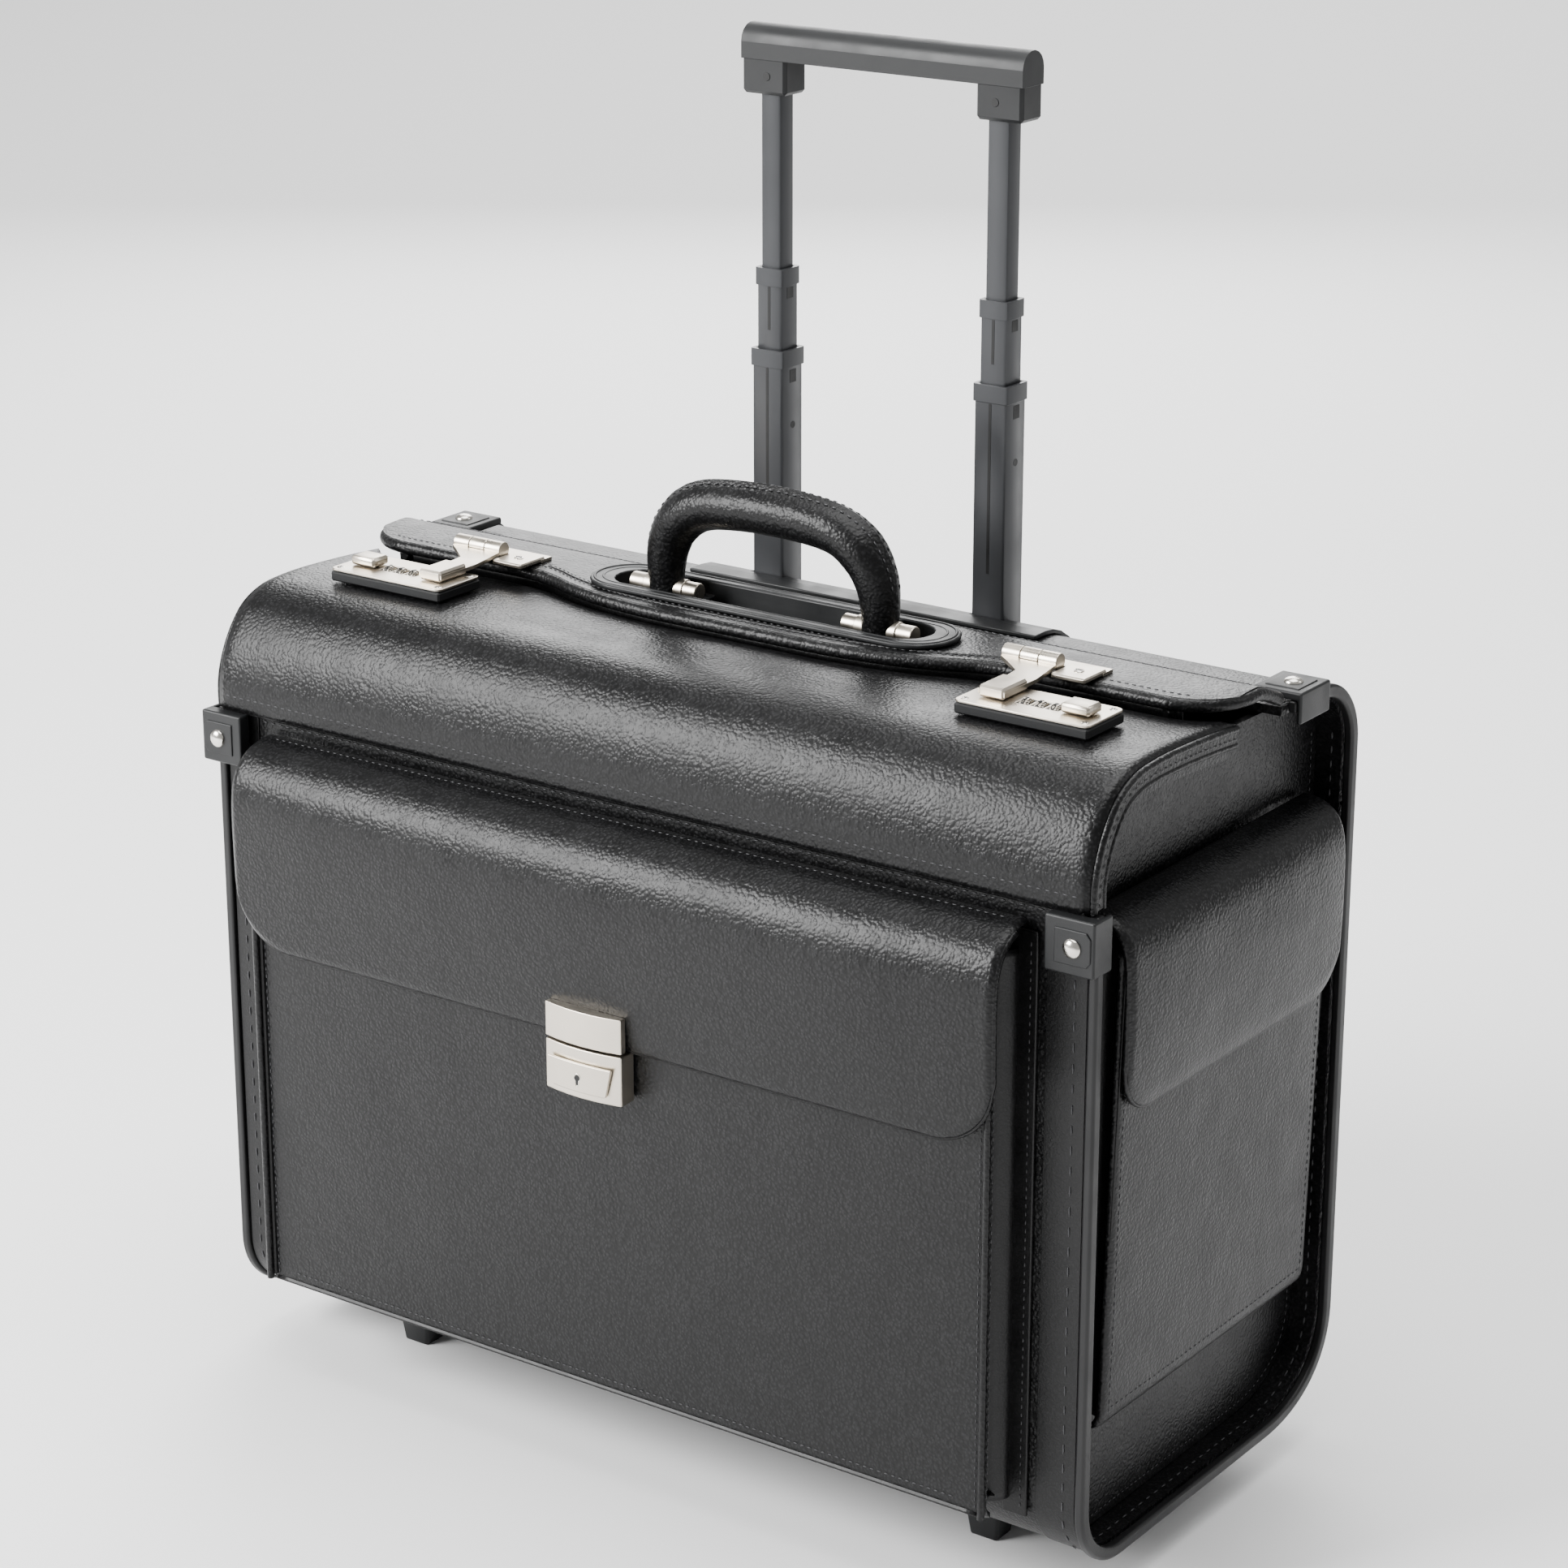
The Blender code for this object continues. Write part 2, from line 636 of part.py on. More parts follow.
def make_side_pockets():
    for s, sign in SIDES:
        x0 = END_OUT + GAP
        pts = [(x0, SIDE_Z0), (0.2325, SIDE_Z0), (0.2340, SIDE_Z0 + 0.003),
               (0.2388, SIDE_Z1), (x0, SIDE_Z1)]
        pts = [(sign * x, z) for x, z in pts]
        ob = finish(prism(pts, SIDE_Y0, SIDE_Y1, "Y"), "side_pocket_" + s, "leather")
        pts = [(x0 + 0.0022, SIDE_Z0 + 0.003), (0.2300, SIDE_Z0 + 0.003), (0.2312, SIDE_Z0 + 0.006),
               (0.2374, SIDE_Z1 + 0.02), (x0 + 0.0022, SIDE_Z1 + 0.02)]
        pts = [(sign * x, z) for x, z in pts]
        boolean(ob, cutter(
            prism(pts, SIDE_Y0 + 0.0025, SIDE_Y1 - 0.0025, "Y"), "side_pocket_void_" + s))

        profile = [(0.2215, 0.3132), (0.2270, 0.3128), (0.2330, 0.3108), (0.2385, 0.3065),
                   (0.2420, 0.2990), (0.2432, 0.2880), (0.2434, 0.2650), (0.2428, 0.2440),
                   (0.2415, SIDE_FLAP_Z0)]
        y0 = SIDE_Y0 - 0.0025
        y1 = SIDE_Y1 + 0.0022
        mid = (y0 + y1) / 2
        half = (y1 - y0) / 2

        def place(u, v):
            u = sin(pi / 2 * (2 * u - 1))
            out, z = flap_point(profile, 0.2990, (0.022, half), 0.0022, u, v)
            return (sign * out, mid + half * u, z)
        bm = face_away(grid(16, len(profile) - 1, place), (0, mid, 0.26))
        flap = finish(bm, "side_flap_" + s, "leather",
                      (sign * SIDE_HINGE[0], 0.0, SIDE_HINGE[1]), closed=False)
        solidify(flap, 0.0026)


def make_front_lid():
    def place(u, v):
        x = LID_X * sin(pi / 2 * (2 * u - 1))
        y, z = along(lid_offset(0.0, x, 0.0035), v)
        return (x, y, z)
    bm = face_away(grid(20, len(LID_PROFILE) - 1, place), (0, 0, 0.30))
    hinge = (0.0, FRONT_HINGE[0], FRONT_HINGE[1])
    lid = solidify(finish(bm, "front_lid", "leather", hinge, closed=False), LID_T)
    for s, sign in SIDES:
        lo, hi = sorted((sign * 0.2312, sign * (LID_X - 0.0003)))
        path = shortened(lid_offset(0.0004), 0.0004)
        tool = cutter(strip(path, lo, hi, -1.0), "lid_lip_" + s, closed=False)
        boolean(lid, solidify(tool, LIP_DEPTH - 0.0004), "UNION")
    half, left = rear_outline(0.0005, 0.0600)
    boolean(lid, cutter(prism(half + left, 0.345, 0.39, "Z"), "lid_rear_cut"))
    return lid


def make_locks():
    for s, sign in SIDES:
        x = sign * LOCK_X
        ob = finish(
            box_mesh(x - LOCK_W, x + LOCK_W, LOCK_Y - LOCK_D, LOCK_Y + LOCK_D, LOCK_Z0, LOCK_Z1,
                     0.0008), "lock_base_" + s, "plastic")
        dx = x + sign * 0.0015
        span = 1.5 * DIAL_PITCH
        boolean(ob, cutter(
            box_mesh(dx - span, dx + span, LOCK_Y - 0.0046, LOCK_Y + 0.0046, 0.3735 - 0.001, 0.39),
            "lock_pit_" + s))
        boolean(ob, cutter(
            rod_x(dx - span - 0.001, dx + span + 0.001, LOCK_Y, DIAL_Z - 0.0002, 0.0004, 8),
            "lock_pin_" + s), "UNION")
        pts = rounded_rect(2 * LOCK_W + 0.0004, 2 * LOCK_D + 0.0004, 0.003, x, LOCK_Y, 3)
        ob = finish(prism(pts, LOCK_Z1 + GAP, PLATE_Z, "Z"), "lock_plate_" + s, "nickel")
        for k in (-1, 0, 1):
            cx = dx + k * DIAL_PITCH
            boolean(ob, cutter(
                box_mesh(cx - 0.0030, cx + 0.0030, LOCK_Y - 0.0040, LOCK_Y + 0.0040, 0.377, 0.383),
                "dial_window_%s%d" % (s, k + 2)))
            bm = ring_x(cx - 0.0026, cx + 0.0026, LOCK_Y, DIAL_Z - 0.0002, 0.0008, 0.0037, 20,
                        0.0004)
            finish(bm, "dial_%s%d" % (s, k + 2), "nickel", (cx, LOCK_Y, DIAL_Z - 0.0002))
        cx = sign * KNOB_X
        bm = box_mesh(cx - 0.0070, cx + 0.0070, LOCK_Y - 0.0060, LOCK_Y + 0.0050,
                      PLATE_Z + GAP, 0.3840, 0.0012, 2)
        finish(bm, "knob_" + s, "nickel", (cx, LOCK_Y, PLATE_Z))


def make_rear_lid():
    half, left = rear_outline()
    outline = half + left
    bm = prism(outline, REAR_Z0, REAR_Z1, "Z")
    lid = finish(bm, "rear_lid", "leather", (0.0, REAR_HINGE[0], REAR_HINGE[1]))
    wedge = [(0.0400, REAR_Z1), (0.0400, 0.39), (0.0700, 0.39), (0.0700, 0.3705),
             (0.0610, 0.3705), (0.0545, 0.3756)]
    boolean(lid, cutter(prism(wedge, -0.25, 0.25, "X"), "rear_slope"))
    pts = stadium(0.0, HANDLE_Y, TRAY_L + GAP, TRAY_W + GAP)
    boolean(lid, cutter(prism(pts, 0.36, 0.39, "Z"), "rear_slot"))
    heel = [(0.0480, REAR_Z0 + 0.002), (0.0480, REAR_Z0 - 0.0004), (0.0598, 0.3675),
            (0.0598, 0.3700), (0.0560, 0.3735)]
    boolean(lid, cutter(prism(heel, -LID_X + 0.0004, LID_X - 0.0004, "X"), "rear_heel"), "UNION")

    flange = prism(stadium(0.0, HANDLE_Y, OVAL_L, OVAL_W), REAR_Z1 + GAP, 0.3815, "Z")
    bezel = finish(flange, "handle_bezel", "plastic")
    boolean(bezel, cutter(
        prism(stadium(0.0, HANDLE_Y, TRAY_L, TRAY_W), 0.3690, 0.3800, "Z"), "handle_tray"), "UNION")
    boolean(bezel, cutter(
        prism(stadium(0.0, HANDLE_Y, SLOT_L, SLOT_W), 0.3708, 0.3900, "Z"), "handle_slot"))
    for s, sign in SIDES:
        for k, x in enumerate((0.0430, 0.0715)):
            bm = box_mesh(sign * x - 0.0022, sign * x + 0.0022, HANDLE_Y - 0.0135,
                          HANDLE_Y + 0.0135, 0.3700, HANDLE_Z - 0.0045 - GAP)
            boolean(bezel, cutter(bm, "handle_cradle_%s%d" % (s, k)), "UNION")
    return lid


def make_handle():
    line = ARCH + [(-x, z) for x, z in ARCH[-2::-1]]
    loops = []
    n = len(line)
    for i, (x, z) in enumerate(line):
        a = Vector(line[max(i - 1, 0)])
        b = Vector(line[min(i + 1, n - 1)])
        t = (b - a).normalized()
        normal = Vector((t[1], -t[0]))
        grow = min(1.0, max(0.0, (z - 0.383) / 0.030))
        thick = 0.0086 + 0.0022 * grow
        deep = 0.0072 + 0.0046 * grow
        ring = []
        for k in range(14):
            q = 2 * pi * k / 14
            off = normal * (thick * cos(q))
            ring.append((x + off[0], HANDLE_Y + deep * sin(q), z + off[1]))
        loops.append(ring)
    ob = finish(loft(loops), "carry_handle", "leather",
                (0.0, HANDLE_Y, HANDLE_Z))
    for s, sign in SIDES:
        lo, hi = sorted((sign * 0.0393, sign * 0.0765))
        boolean(ob, cutter(rod_x(lo, hi, HANDLE_Y, HANDLE_Z, 0.0045, 16), "handle_pin_" + s),
                "UNION")
    return ob


def make_hasps():
    for s, sign in SIDES:
        cx = HASP_X[s]
        arm = [(cx - 0.0134, 0.0105), (cx - 0.0134, 0.0060), (cx - 0.0060, 0.0000),
               (cx + 0.0030, -0.0080), (cx + 0.0040, -0.0160), (cx + 0.0040, -0.0385),
               (cx + 0.0170, -0.0385), (cx + 0.0170, -0.0140), (cx + 0.0134, 0.0060),
               (cx + 0.0134, 0.0105)]
        ob = finish(prism(arm, 0.3812, 0.3830, "Z"), "hasp_" + s, "nickel", (cx, HASP_Y, HASP_Z))
        bm = box_mesh(cx + 0.0042, cx + 0.0168, -0.0390, -0.0200, 0.3797, 0.3848, 0.0010)
        boolean(ob, cutter(bm, "hasp_claw_" + s), "UNION")
        for k, (a, b) in enumerate(((-0.0135, -0.0048), (0.0048, 0.0135))):
            boolean(ob, cutter(
                rod_x(cx + a, cx + b, HASP_Y, HASP_Z, HASP_R, 16), "hasp_knuckle_%s%d" % (s, k)),
                "UNION")
        gap = box_mesh(cx - 0.0048, cx + 0.0048, 0.0062, 0.0160, 0.3750, 0.3900)
        boolean(ob, cutter(gap, "hasp_gap_" + s))

        ob = finish(box_mesh(cx - 0.0135, cx + 0.0320, 0.0146, 0.0225, REAR_Z1 + GAP, 0.3808),
                    "hasp_leaf_" + s, "nickel")
        bm = box_mesh(cx + 0.0150, cx + 0.0318, 0.0000, 0.0180, REAR_Z1 + GAP + 0.0001, 0.3818,
                      0.0006)
        boolean(ob, cutter(bm, "leaf_pad_" + s), "UNION")
        boolean(ob, cutter(
            rod_x(cx - 0.0045, cx + 0.0045, HASP_Y, HASP_Z, HASP_R, 16), "leaf_knuckle_" + s),
            "UNION")
        bm = box_mesh(cx - 0.0043, cx + 0.0043, HASP_Y, 0.0160, REAR_Z1 + GAP + 0.0002, 0.3828)
        boolean(ob, cutter(bm, "leaf_web_" + s), "UNION")


clear()
PARTS = collection("parts")
CUTTERS = collection("cutters")
make_body()
make_running_gear()
make_trolley()
make_front_pocket()
make_side_pockets()
make_front_lid()
make_locks()
make_rear_lid()
make_handle()
make_hasps()
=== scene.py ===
import bmesh
import bpy
import json
from math import cos, pi, radians, sin, sqrt
from mathutils import Matrix, Vector, noise

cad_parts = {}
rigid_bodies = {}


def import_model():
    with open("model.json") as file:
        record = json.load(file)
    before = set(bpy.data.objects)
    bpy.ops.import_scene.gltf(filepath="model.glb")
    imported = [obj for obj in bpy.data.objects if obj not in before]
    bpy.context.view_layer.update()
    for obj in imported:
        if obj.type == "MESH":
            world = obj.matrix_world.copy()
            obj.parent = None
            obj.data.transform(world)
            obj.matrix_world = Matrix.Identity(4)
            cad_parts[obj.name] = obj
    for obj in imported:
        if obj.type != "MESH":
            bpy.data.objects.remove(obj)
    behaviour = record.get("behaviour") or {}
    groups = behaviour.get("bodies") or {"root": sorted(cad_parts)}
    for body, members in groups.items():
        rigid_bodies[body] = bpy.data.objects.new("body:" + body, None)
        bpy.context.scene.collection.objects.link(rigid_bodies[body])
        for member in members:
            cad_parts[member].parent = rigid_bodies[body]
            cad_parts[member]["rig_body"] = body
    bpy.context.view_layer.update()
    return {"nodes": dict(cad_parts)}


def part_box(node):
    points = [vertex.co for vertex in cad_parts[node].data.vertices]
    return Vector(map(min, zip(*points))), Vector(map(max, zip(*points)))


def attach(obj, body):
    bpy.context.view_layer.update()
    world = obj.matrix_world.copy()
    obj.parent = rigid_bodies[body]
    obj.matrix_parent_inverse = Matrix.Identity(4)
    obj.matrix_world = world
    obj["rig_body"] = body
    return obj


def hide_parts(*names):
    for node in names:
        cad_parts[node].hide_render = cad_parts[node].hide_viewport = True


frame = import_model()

print("frame loaded")

sides = (("l", -1.0), ("r", 1.0))
nodes = frame["nodes"]


# materials

def hexColour(code):
    out = []
    for i in (0, 2, 4):
        c = int(code[i:i + 2], 16) / 255
        out.append(c / 12.92 if c <= 0.04045 else ((c + 0.055) / 1.055) ** 2.4)
    return (*out, 1.0)


def addNode(tree, kind, settings=None, links=None):
    node = tree.nodes.new(kind)
    for key, value in (settings or {}).items():
        if key in node.inputs:
            node.inputs[key].default_value = value
        else:
            setattr(node, key, value)
    for key, source in (links or {}).items():
        tree.links.new(source, node.inputs[key])
    return node


def newMaterial(name, colour, roughness, metallic=0.0, coat=0.0, coatRoughness=0.1, ior=1.5):
    mat = bpy.data.materials.new(name)
    mat.use_nodes = True
    shader = mat.node_tree.nodes["Principled BSDF"]
    shader.inputs["Base Color"].default_value = hexColour(colour)
    shader.inputs["Roughness"].default_value = roughness
    shader.inputs["Metallic"].default_value = metallic
    shader.inputs["Coat Weight"].default_value = coat
    shader.inputs["Coat Roughness"].default_value = coatRoughness
    if metallic < 0.5:
        shader.inputs["IOR"].default_value = ior
    return mat, mat.node_tree, shader


def addGrain(tree, shader, grainMm, depthMm, wrinkleMm, wrinkleDepthMm):
    # pebbles from cell edges, softened by a finer noise, over slow wrinkles
    coords = addNode(tree, "ShaderNodeTexCoord").outputs["Object"]
    warp = addNode(tree, "ShaderNodeTexNoise", {"Scale": 1000 / (grainMm * 3), "Detail": 2.0},
                   {"Vector": coords})
    bent = addNode(tree, "ShaderNodeMixRGB", {"blend_type": "LINEAR_LIGHT", "Fac": 0.0012},
                   {"Color1": coords, "Color2": warp.outputs["Color"]})
    cells = addNode(tree, "ShaderNodeTexVoronoi", {"feature": "SMOOTH_F1", "Scale": 1000 / grainMm,
                                                   "Smoothness": 0.6},
                    {"Vector": bent.outputs["Color"]})
    wrinkle = addNode(tree, "ShaderNodeTexNoise", {"Scale": 1000 / wrinkleMm, "Detail": 5.0,
                                                   "Roughness": 0.55}, {"Vector": coords})
    fine = addNode(tree, "ShaderNodeBump", {"Strength": 1.0, "Distance": depthMm / 1000,
                                            "invert": True},
                   {"Height": cells.outputs["Distance"]})
    slow = addNode(tree, "ShaderNodeBump", {"Strength": 1.0, "Distance": wrinkleDepthMm / 1000},
                   {"Height": wrinkle.outputs["Fac"], "Normal": fine.outputs["Normal"]})
    tree.links.new(slow.outputs["Normal"], shader.inputs["Normal"])
    return coords, cells, wrinkle


def leatherMaterial(name, settings):
    mat, tree, shader = newMaterial(name, settings["colour"], settings["roughness"],
                                    coat=settings["coat"], coatRoughness=settings["coatRough"],
                                    ior=settings["ior"])
    coords, cells, wrinkle = addGrain(tree, shader, settings["grainMm"], settings["depthMm"],
                                      settings["wrinkleMm"], settings["wrinkleDepthMm"])
    # painted shade and highlight: the base colour is darkened in the hollows between pebbles and
    # in the low parts of the slow wrinkles, and lightened on the pebble tops
    wrinkleShade = addNode(tree, "ShaderNodeValToRGB", None, {"Fac": wrinkle.outputs["Fac"]})
    wrinkleShade.color_ramp.elements[0].position = 0.3
    wrinkleShade.color_ramp.elements[0].color = hexColour(settings["dark"])
    wrinkleShade.color_ramp.elements[1].position = 0.7
    wrinkleShade.color_ramp.elements[1].color = hexColour(settings["colour"])
    pebble = addNode(tree, "ShaderNodeMapRange",
                     {"From Min": 0.05, "From Max": 0.55, "To Min": 1.7, "To Max": 0.35},
                     {"Value": cells.outputs["Distance"]})
    shade = addNode(tree, "ShaderNodeMixRGB", {"blend_type": "MULTIPLY", "Fac": 1.0},
                    {"Color1": wrinkleShade.outputs["Color"], "Color2": pebble.outputs["Result"]})
    tree.links.new(shade.outputs["Color"], shader.inputs["Base Color"])
    rough = addNode(tree, "ShaderNodeMapRange",
                    {"From Min": 0.25, "From Max": 0.75, "To Min": settings["roughness"] - 0.05,
                     "To Max": settings["roughness"] + 0.07}, {"Value": wrinkle.outputs["Fac"]})
    tree.links.new(rough.outputs["Result"], shader.inputs["Roughness"])
    return mat


def mouldedMaterial(name, settings):
    # spark-eroded mould texture: an even speckle that kills the gloss, drawn several times
    # coarser than the real one so that it shows
    mat, tree, shader = newMaterial(name, settings["colour"], settings["roughness"],
                                    metallic=settings.get("metallic", 0.0), ior=1.4)
    coords = addNode(tree, "ShaderNodeTexCoord").outputs["Object"]
    speck = addNode(tree, "ShaderNodeTexNoise", {"Scale": 1000 / settings["speckMm"],
                                                 "Detail": 3.0}, {"Vector": coords})
    smear = addNode(tree, "ShaderNodeTexNoise", {"Scale": 1000 / settings["smearMm"],
                                                 "Detail": 4.0}, {"Vector": coords})
    bump = addNode(tree, "ShaderNodeBump", {"Strength": 1.0,
                                            "Distance": settings["depthMm"] / 1000},
                   {"Height": speck.outputs["Fac"]})
    tree.links.new(bump.outputs["Normal"], shader.inputs["Normal"])
    rough = addNode(tree, "ShaderNodeMapRange",
                    {"From Min": 0.3, "From Max": 0.7, "To Min": settings["roughness"] - 0.08,
                     "To Max": settings["roughness"] + 0.08}, {"Value": smear.outputs["Fac"]})
    tree.links.new(rough.outputs["Result"], shader.inputs["Roughness"])
    return mat


def brushedMaterial(name, settings):
    # lines along X left by the finishing belt, drawn coarser than the real ones so that
    # they show
    mat, tree, shader = newMaterial(name, settings["colour"], settings["roughness"], metallic=1.0)
    coords = addNode(tree, "ShaderNodeTexCoord").outputs["Object"]
    turned = addNode(tree, "ShaderNodeMapping", {"Scale": settings["stretch"]}, {"Vector": coords})
    lines = addNode(tree, "ShaderNodeTexNoise", {"Scale": 1000 / settings["lineMm"],
                                                 "Detail": 3.0},
                    {"Vector": turned.outputs["Vector"]})
    worn = addNode(tree, "ShaderNodeTexNoise", {"Scale": 1000 / settings["smearMm"],
                                                "Detail": 3.0}, {"Vector": coords})
    bump = addNode(tree, "ShaderNodeBump", {"Strength": 0.25,
                                            "Distance": settings["depthMm"] / 1000},
                   {"Height": lines.outputs["Fac"]})
    tree.links.new(bump.outputs["Normal"], shader.inputs["Normal"])
    rough = addNode(tree, "ShaderNodeMapRange",
                    {"From Min": 0.3, "From Max": 0.7, "To Min": settings["roughness"] - 0.06,
                     "To Max": settings["roughness"] + 0.08}, {"Value": worn.outputs["Fac"]})
    tree.links.new(rough.outputs["Result"], shader.inputs["Roughness"])
    return mat


leatherLooks = {"colour": "161617", "dark": "0f0f10", "roughness": 0.36, "coat": 0.05,
                "coatRough": 0.30, "grainMm": 1.5, "depthMm": 0.28, "wrinkleMm": 18,
                "wrinkleDepthMm": 0.45, "ior": 1.30}
bindingLooks = {"colour": "121213", "dark": "0b0b0c", "roughness": 0.44, "coat": 0.1,
                "coatRough": 0.3, "grainMm": 1.1, "depthMm": 0.10, "wrinkleMm": 14,
                "wrinkleDepthMm": 0.25, "ior": 1.32}

# PU-coated split leather, embossed with a pebble grain: glossy black with broad soft highlights
leather = leatherMaterial("pebbledLeatherette", leatherLooks)
# thinner skived leather for tapes and edges, a little duller
binding = leatherMaterial("skivedLeatherTape", bindingLooks)
# matt ABS mouldings of caps, feet and mounts: dull and even
absPlastic = mouldedMaterial("mouldedAbs", {
    "colour": "131415", "roughness": 0.48, "speckMm": 0.7, "smearMm": 18, "depthMm": 0.04})
# extruded PVC piping, smoother than the mouldings
pvcPiping = mouldedMaterial("extrudedPvcPiping", {
    "colour": "101011", "roughness": 0.42, "speckMm": 1.2, "smearMm": 25, "depthMm": 0.03})
# powder-coated steel tube: dark grey with a soft streak of light
coatedTube = mouldedMaterial("powderCoatedTube", {
    "colour": "38393b", "roughness": 0.38, "speckMm": 0.5, "smearMm": 30, "depthMm": 0.015,
    "metallic": 0.35})
# soft-touch nylon of the trolley grip: dull, with wide weak highlights
gripPlastic = mouldedMaterial("softTouchNylon", {
    "colour": "191a1b", "roughness": 0.46, "speckMm": 0.6, "smearMm": 20, "depthMm": 0.03})
# die-cast zinc with a brushed satin nickel plate: warm grey with blurred reflections
satinNickel = brushedMaterial("satinNickelPlate", {
    "colour": "c8c0b3", "roughness": 0.32, "stretch": (0.06, 1.0, 1.0), "lineMm": 0.6,
    "smearMm": 12, "depthMm": 0.012})
# polished nickel heads of rivets and screws: small sharp glints
polishedNickel = brushedMaterial("polishedNickelStud", {
    "colour": "dcd8d0", "roughness": 0.20, "stretch": (1.0, 1.0, 1.0), "lineMm": 2.0,
    "smearMm": 8, "depthMm": 0.004})
# bonded polyester thread: slightly greyer than the leather, with a weak shine
thread = mouldedMaterial("bondedPolyesterThread", {
    "colour": "38383a", "roughness": 0.38, "speckMm": 0.3, "smearMm": 6, "depthMm": 0.05})
# cast polyurethane tyre: the dullest black of all
castRubber = mouldedMaterial("castPolyurethaneTyre", {
    "colour": "1d1d1e", "roughness": 0.62, "speckMm": 0.8, "smearMm": 10, "depthMm": 0.06})
# stamped marks filled with black paint, and painted shade: slots, notches, holes, grooves and
# windows drawn black where they would lie in shade
inkAndPaintedShade = mouldedMaterial("blackFillAndPaintedShade", {
    "colour": "0a0a0a", "roughness": 0.5, "speckMm": 0.5, "smearMm": 6, "depthMm": 0.01})


def liningMaterial():
    # woven nylon lining, a thread about every 0.8 mm, coarser than the real weave
    mat, tree, shader = newMaterial("wovenNylonLining", "2c2c30", 0.75)
    coords = addNode(tree, "ShaderNodeTexCoord").outputs["Object"]
    bumps = None
    for direction in ("X", "Z"):
        wave = addNode(tree, "ShaderNodeTexWave",
                       {"Scale": 1000 / (0.8 * 20), "bands_direction": direction,
                        "Distortion": 0.5}, {"Vector": coords})
        links = {"Height": wave.outputs["Fac"]}
        if bumps:
            links["Normal"] = bumps.outputs["Normal"]
        bumps = addNode(tree, "ShaderNodeBump", {"Strength": 0.5, "Distance": 0.0001}, links)
    tree.links.new(bumps.outputs["Normal"], shader.inputs["Normal"])
    return mat


lining = liningMaterial()
print("materials ready")


# modelling helpers

def finishPiece(name, bm, mat, body, replaces=(), sharp=40, closed=True):
    bmesh.ops.remove_doubles(bm, verts=bm.verts, dist=1e-6)
    if closed:
        bmesh.ops.recalc_face_normals(bm, faces=bm.faces)
    mesh = bpy.data.meshes.new(name)
    bm.to_mesh(mesh)
    bm.free()
    mesh.shade_smooth()
    mesh.set_sharp_from_angle(angle=radians(sharp))
    piece = bpy.data.objects.new(name, mesh)
    bpy.context.scene.collection.objects.link(piece)
    mesh.materials.append(mat)
    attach(piece, body)
    if replaces:
        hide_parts(*replaces)
    return piece


def addBevel(piece, width, segments=3, angle=35):
    mod = piece.modifiers.new("edges", "BEVEL")
    mod.width = width
    mod.segments = segments
    mod.limit_method = "ANGLE"
    mod.angle_limit = radians(angle)
    mod.harden_normals = True
    return piece


def addWall(piece, thickness):
    mod = piece.modifiers.new("wall", "SOLIDIFY")
    mod.thickness = thickness
    mod.offset = -1
    mod.use_even_offset = True
    return piece


def cutAway(piece, bm, name):
    # the cut is applied at once and its tool removed, so nothing extra stays in the scene
    bmesh.ops.recalc_face_normals(bm, faces=bm.faces)
    mesh = bpy.data.meshes.new(name)
    bm.to_mesh(mesh)
    bm.free()
    tool = bpy.data.objects.new(name, mesh)
    bpy.context.scene.collection.objects.link(tool)
    mod = piece.modifiers.new("cut", "BOOLEAN")
    mod.object = tool
    mod.solver = "EXACT"
    bpy.context.view_layer.update()
    graph = bpy.context.evaluated_depsgraph_get()
    cut = bpy.data.meshes.new_from_object(piece.evaluated_get(graph))
    piece.modifiers.clear()
    piece.data = cut
    cut.name = piece.name
    cut.shade_smooth()
    cut.set_sharp_from_angle(angle=radians(40))
    bpy.data.objects.remove(tool)
    return piece


def refined(nodeName, mat, width, segments=2, sharp=35, name=None):
    # the CAD piece itself with its coplanar triangles merged and its edges softened
    bm = bmesh.new()
    bm.from_mesh(nodes[nodeName].data)
    bmesh.ops.remove_doubles(bm, verts=bm.verts, dist=2e-6)
    bmesh.ops.dissolve_limit(bm, angle_limit=radians(0.6), verts=bm.verts, edges=bm.edges)
    body = nodes[nodeName]["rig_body"]
    piece = finishPiece(name or nodeName + ".shown", bm, mat, body, (nodeName,), sharp)
    if width:
        addBevel(piece, width, segments, sharp)
    return piece


def onPlane(p, h, axis):
    if axis == "X":
        return (h, p[0], p[1])
    if axis == "Y":
        return (p[0], h, p[1])
    return (p[0], p[1], h)


def extruded(points, low, high, axis):
    bm = bmesh.new()
    face = bm.faces.new([bm.verts.new(onPlane(p, low, axis)) for p in points])
    grown = bmesh.ops.extrude_face_region(bm, geom=[face])["geom"]
    top = [v for v in grown if isinstance(v, bmesh.types.BMVert)]
    bmesh.ops.translate(bm, verts=top, vec=Vector(onPlane((0, 0), high - low, axis)))
    return bm


def block(x0, x1, y0, y1, z0, z1):
    bm = bmesh.new()
    bmesh.ops.create_cube(bm, size=1.0)
    bmesh.ops.scale(bm, verts=bm.verts, vec=(abs(x1 - x0), abs(y1 - y0), abs(z1 - z0)))
    bmesh.ops.translate(bm, verts=bm.verts,
                        vec=((x1 + x0) / 2, (y1 + y0) / 2, (z1 + z0) / 2))
    return bm


def joinInto(whole, bm):
    mesh = bpy.data.meshes.new("part")
    bm.to_mesh(mesh)
    bm.free()
    whole.from_mesh(mesh)
    bpy.data.meshes.remove(mesh)


def faceOut(bm, insidePoint):
    bm.normal_update()
    inside = Vector(insidePoint)
    if sum(f.normal.dot(f.calc_center_median() - inside) * f.calc_area() for f in bm.faces) < 0:
        bmesh.ops.reverse_faces(bm, faces=bm.faces)
    return bm


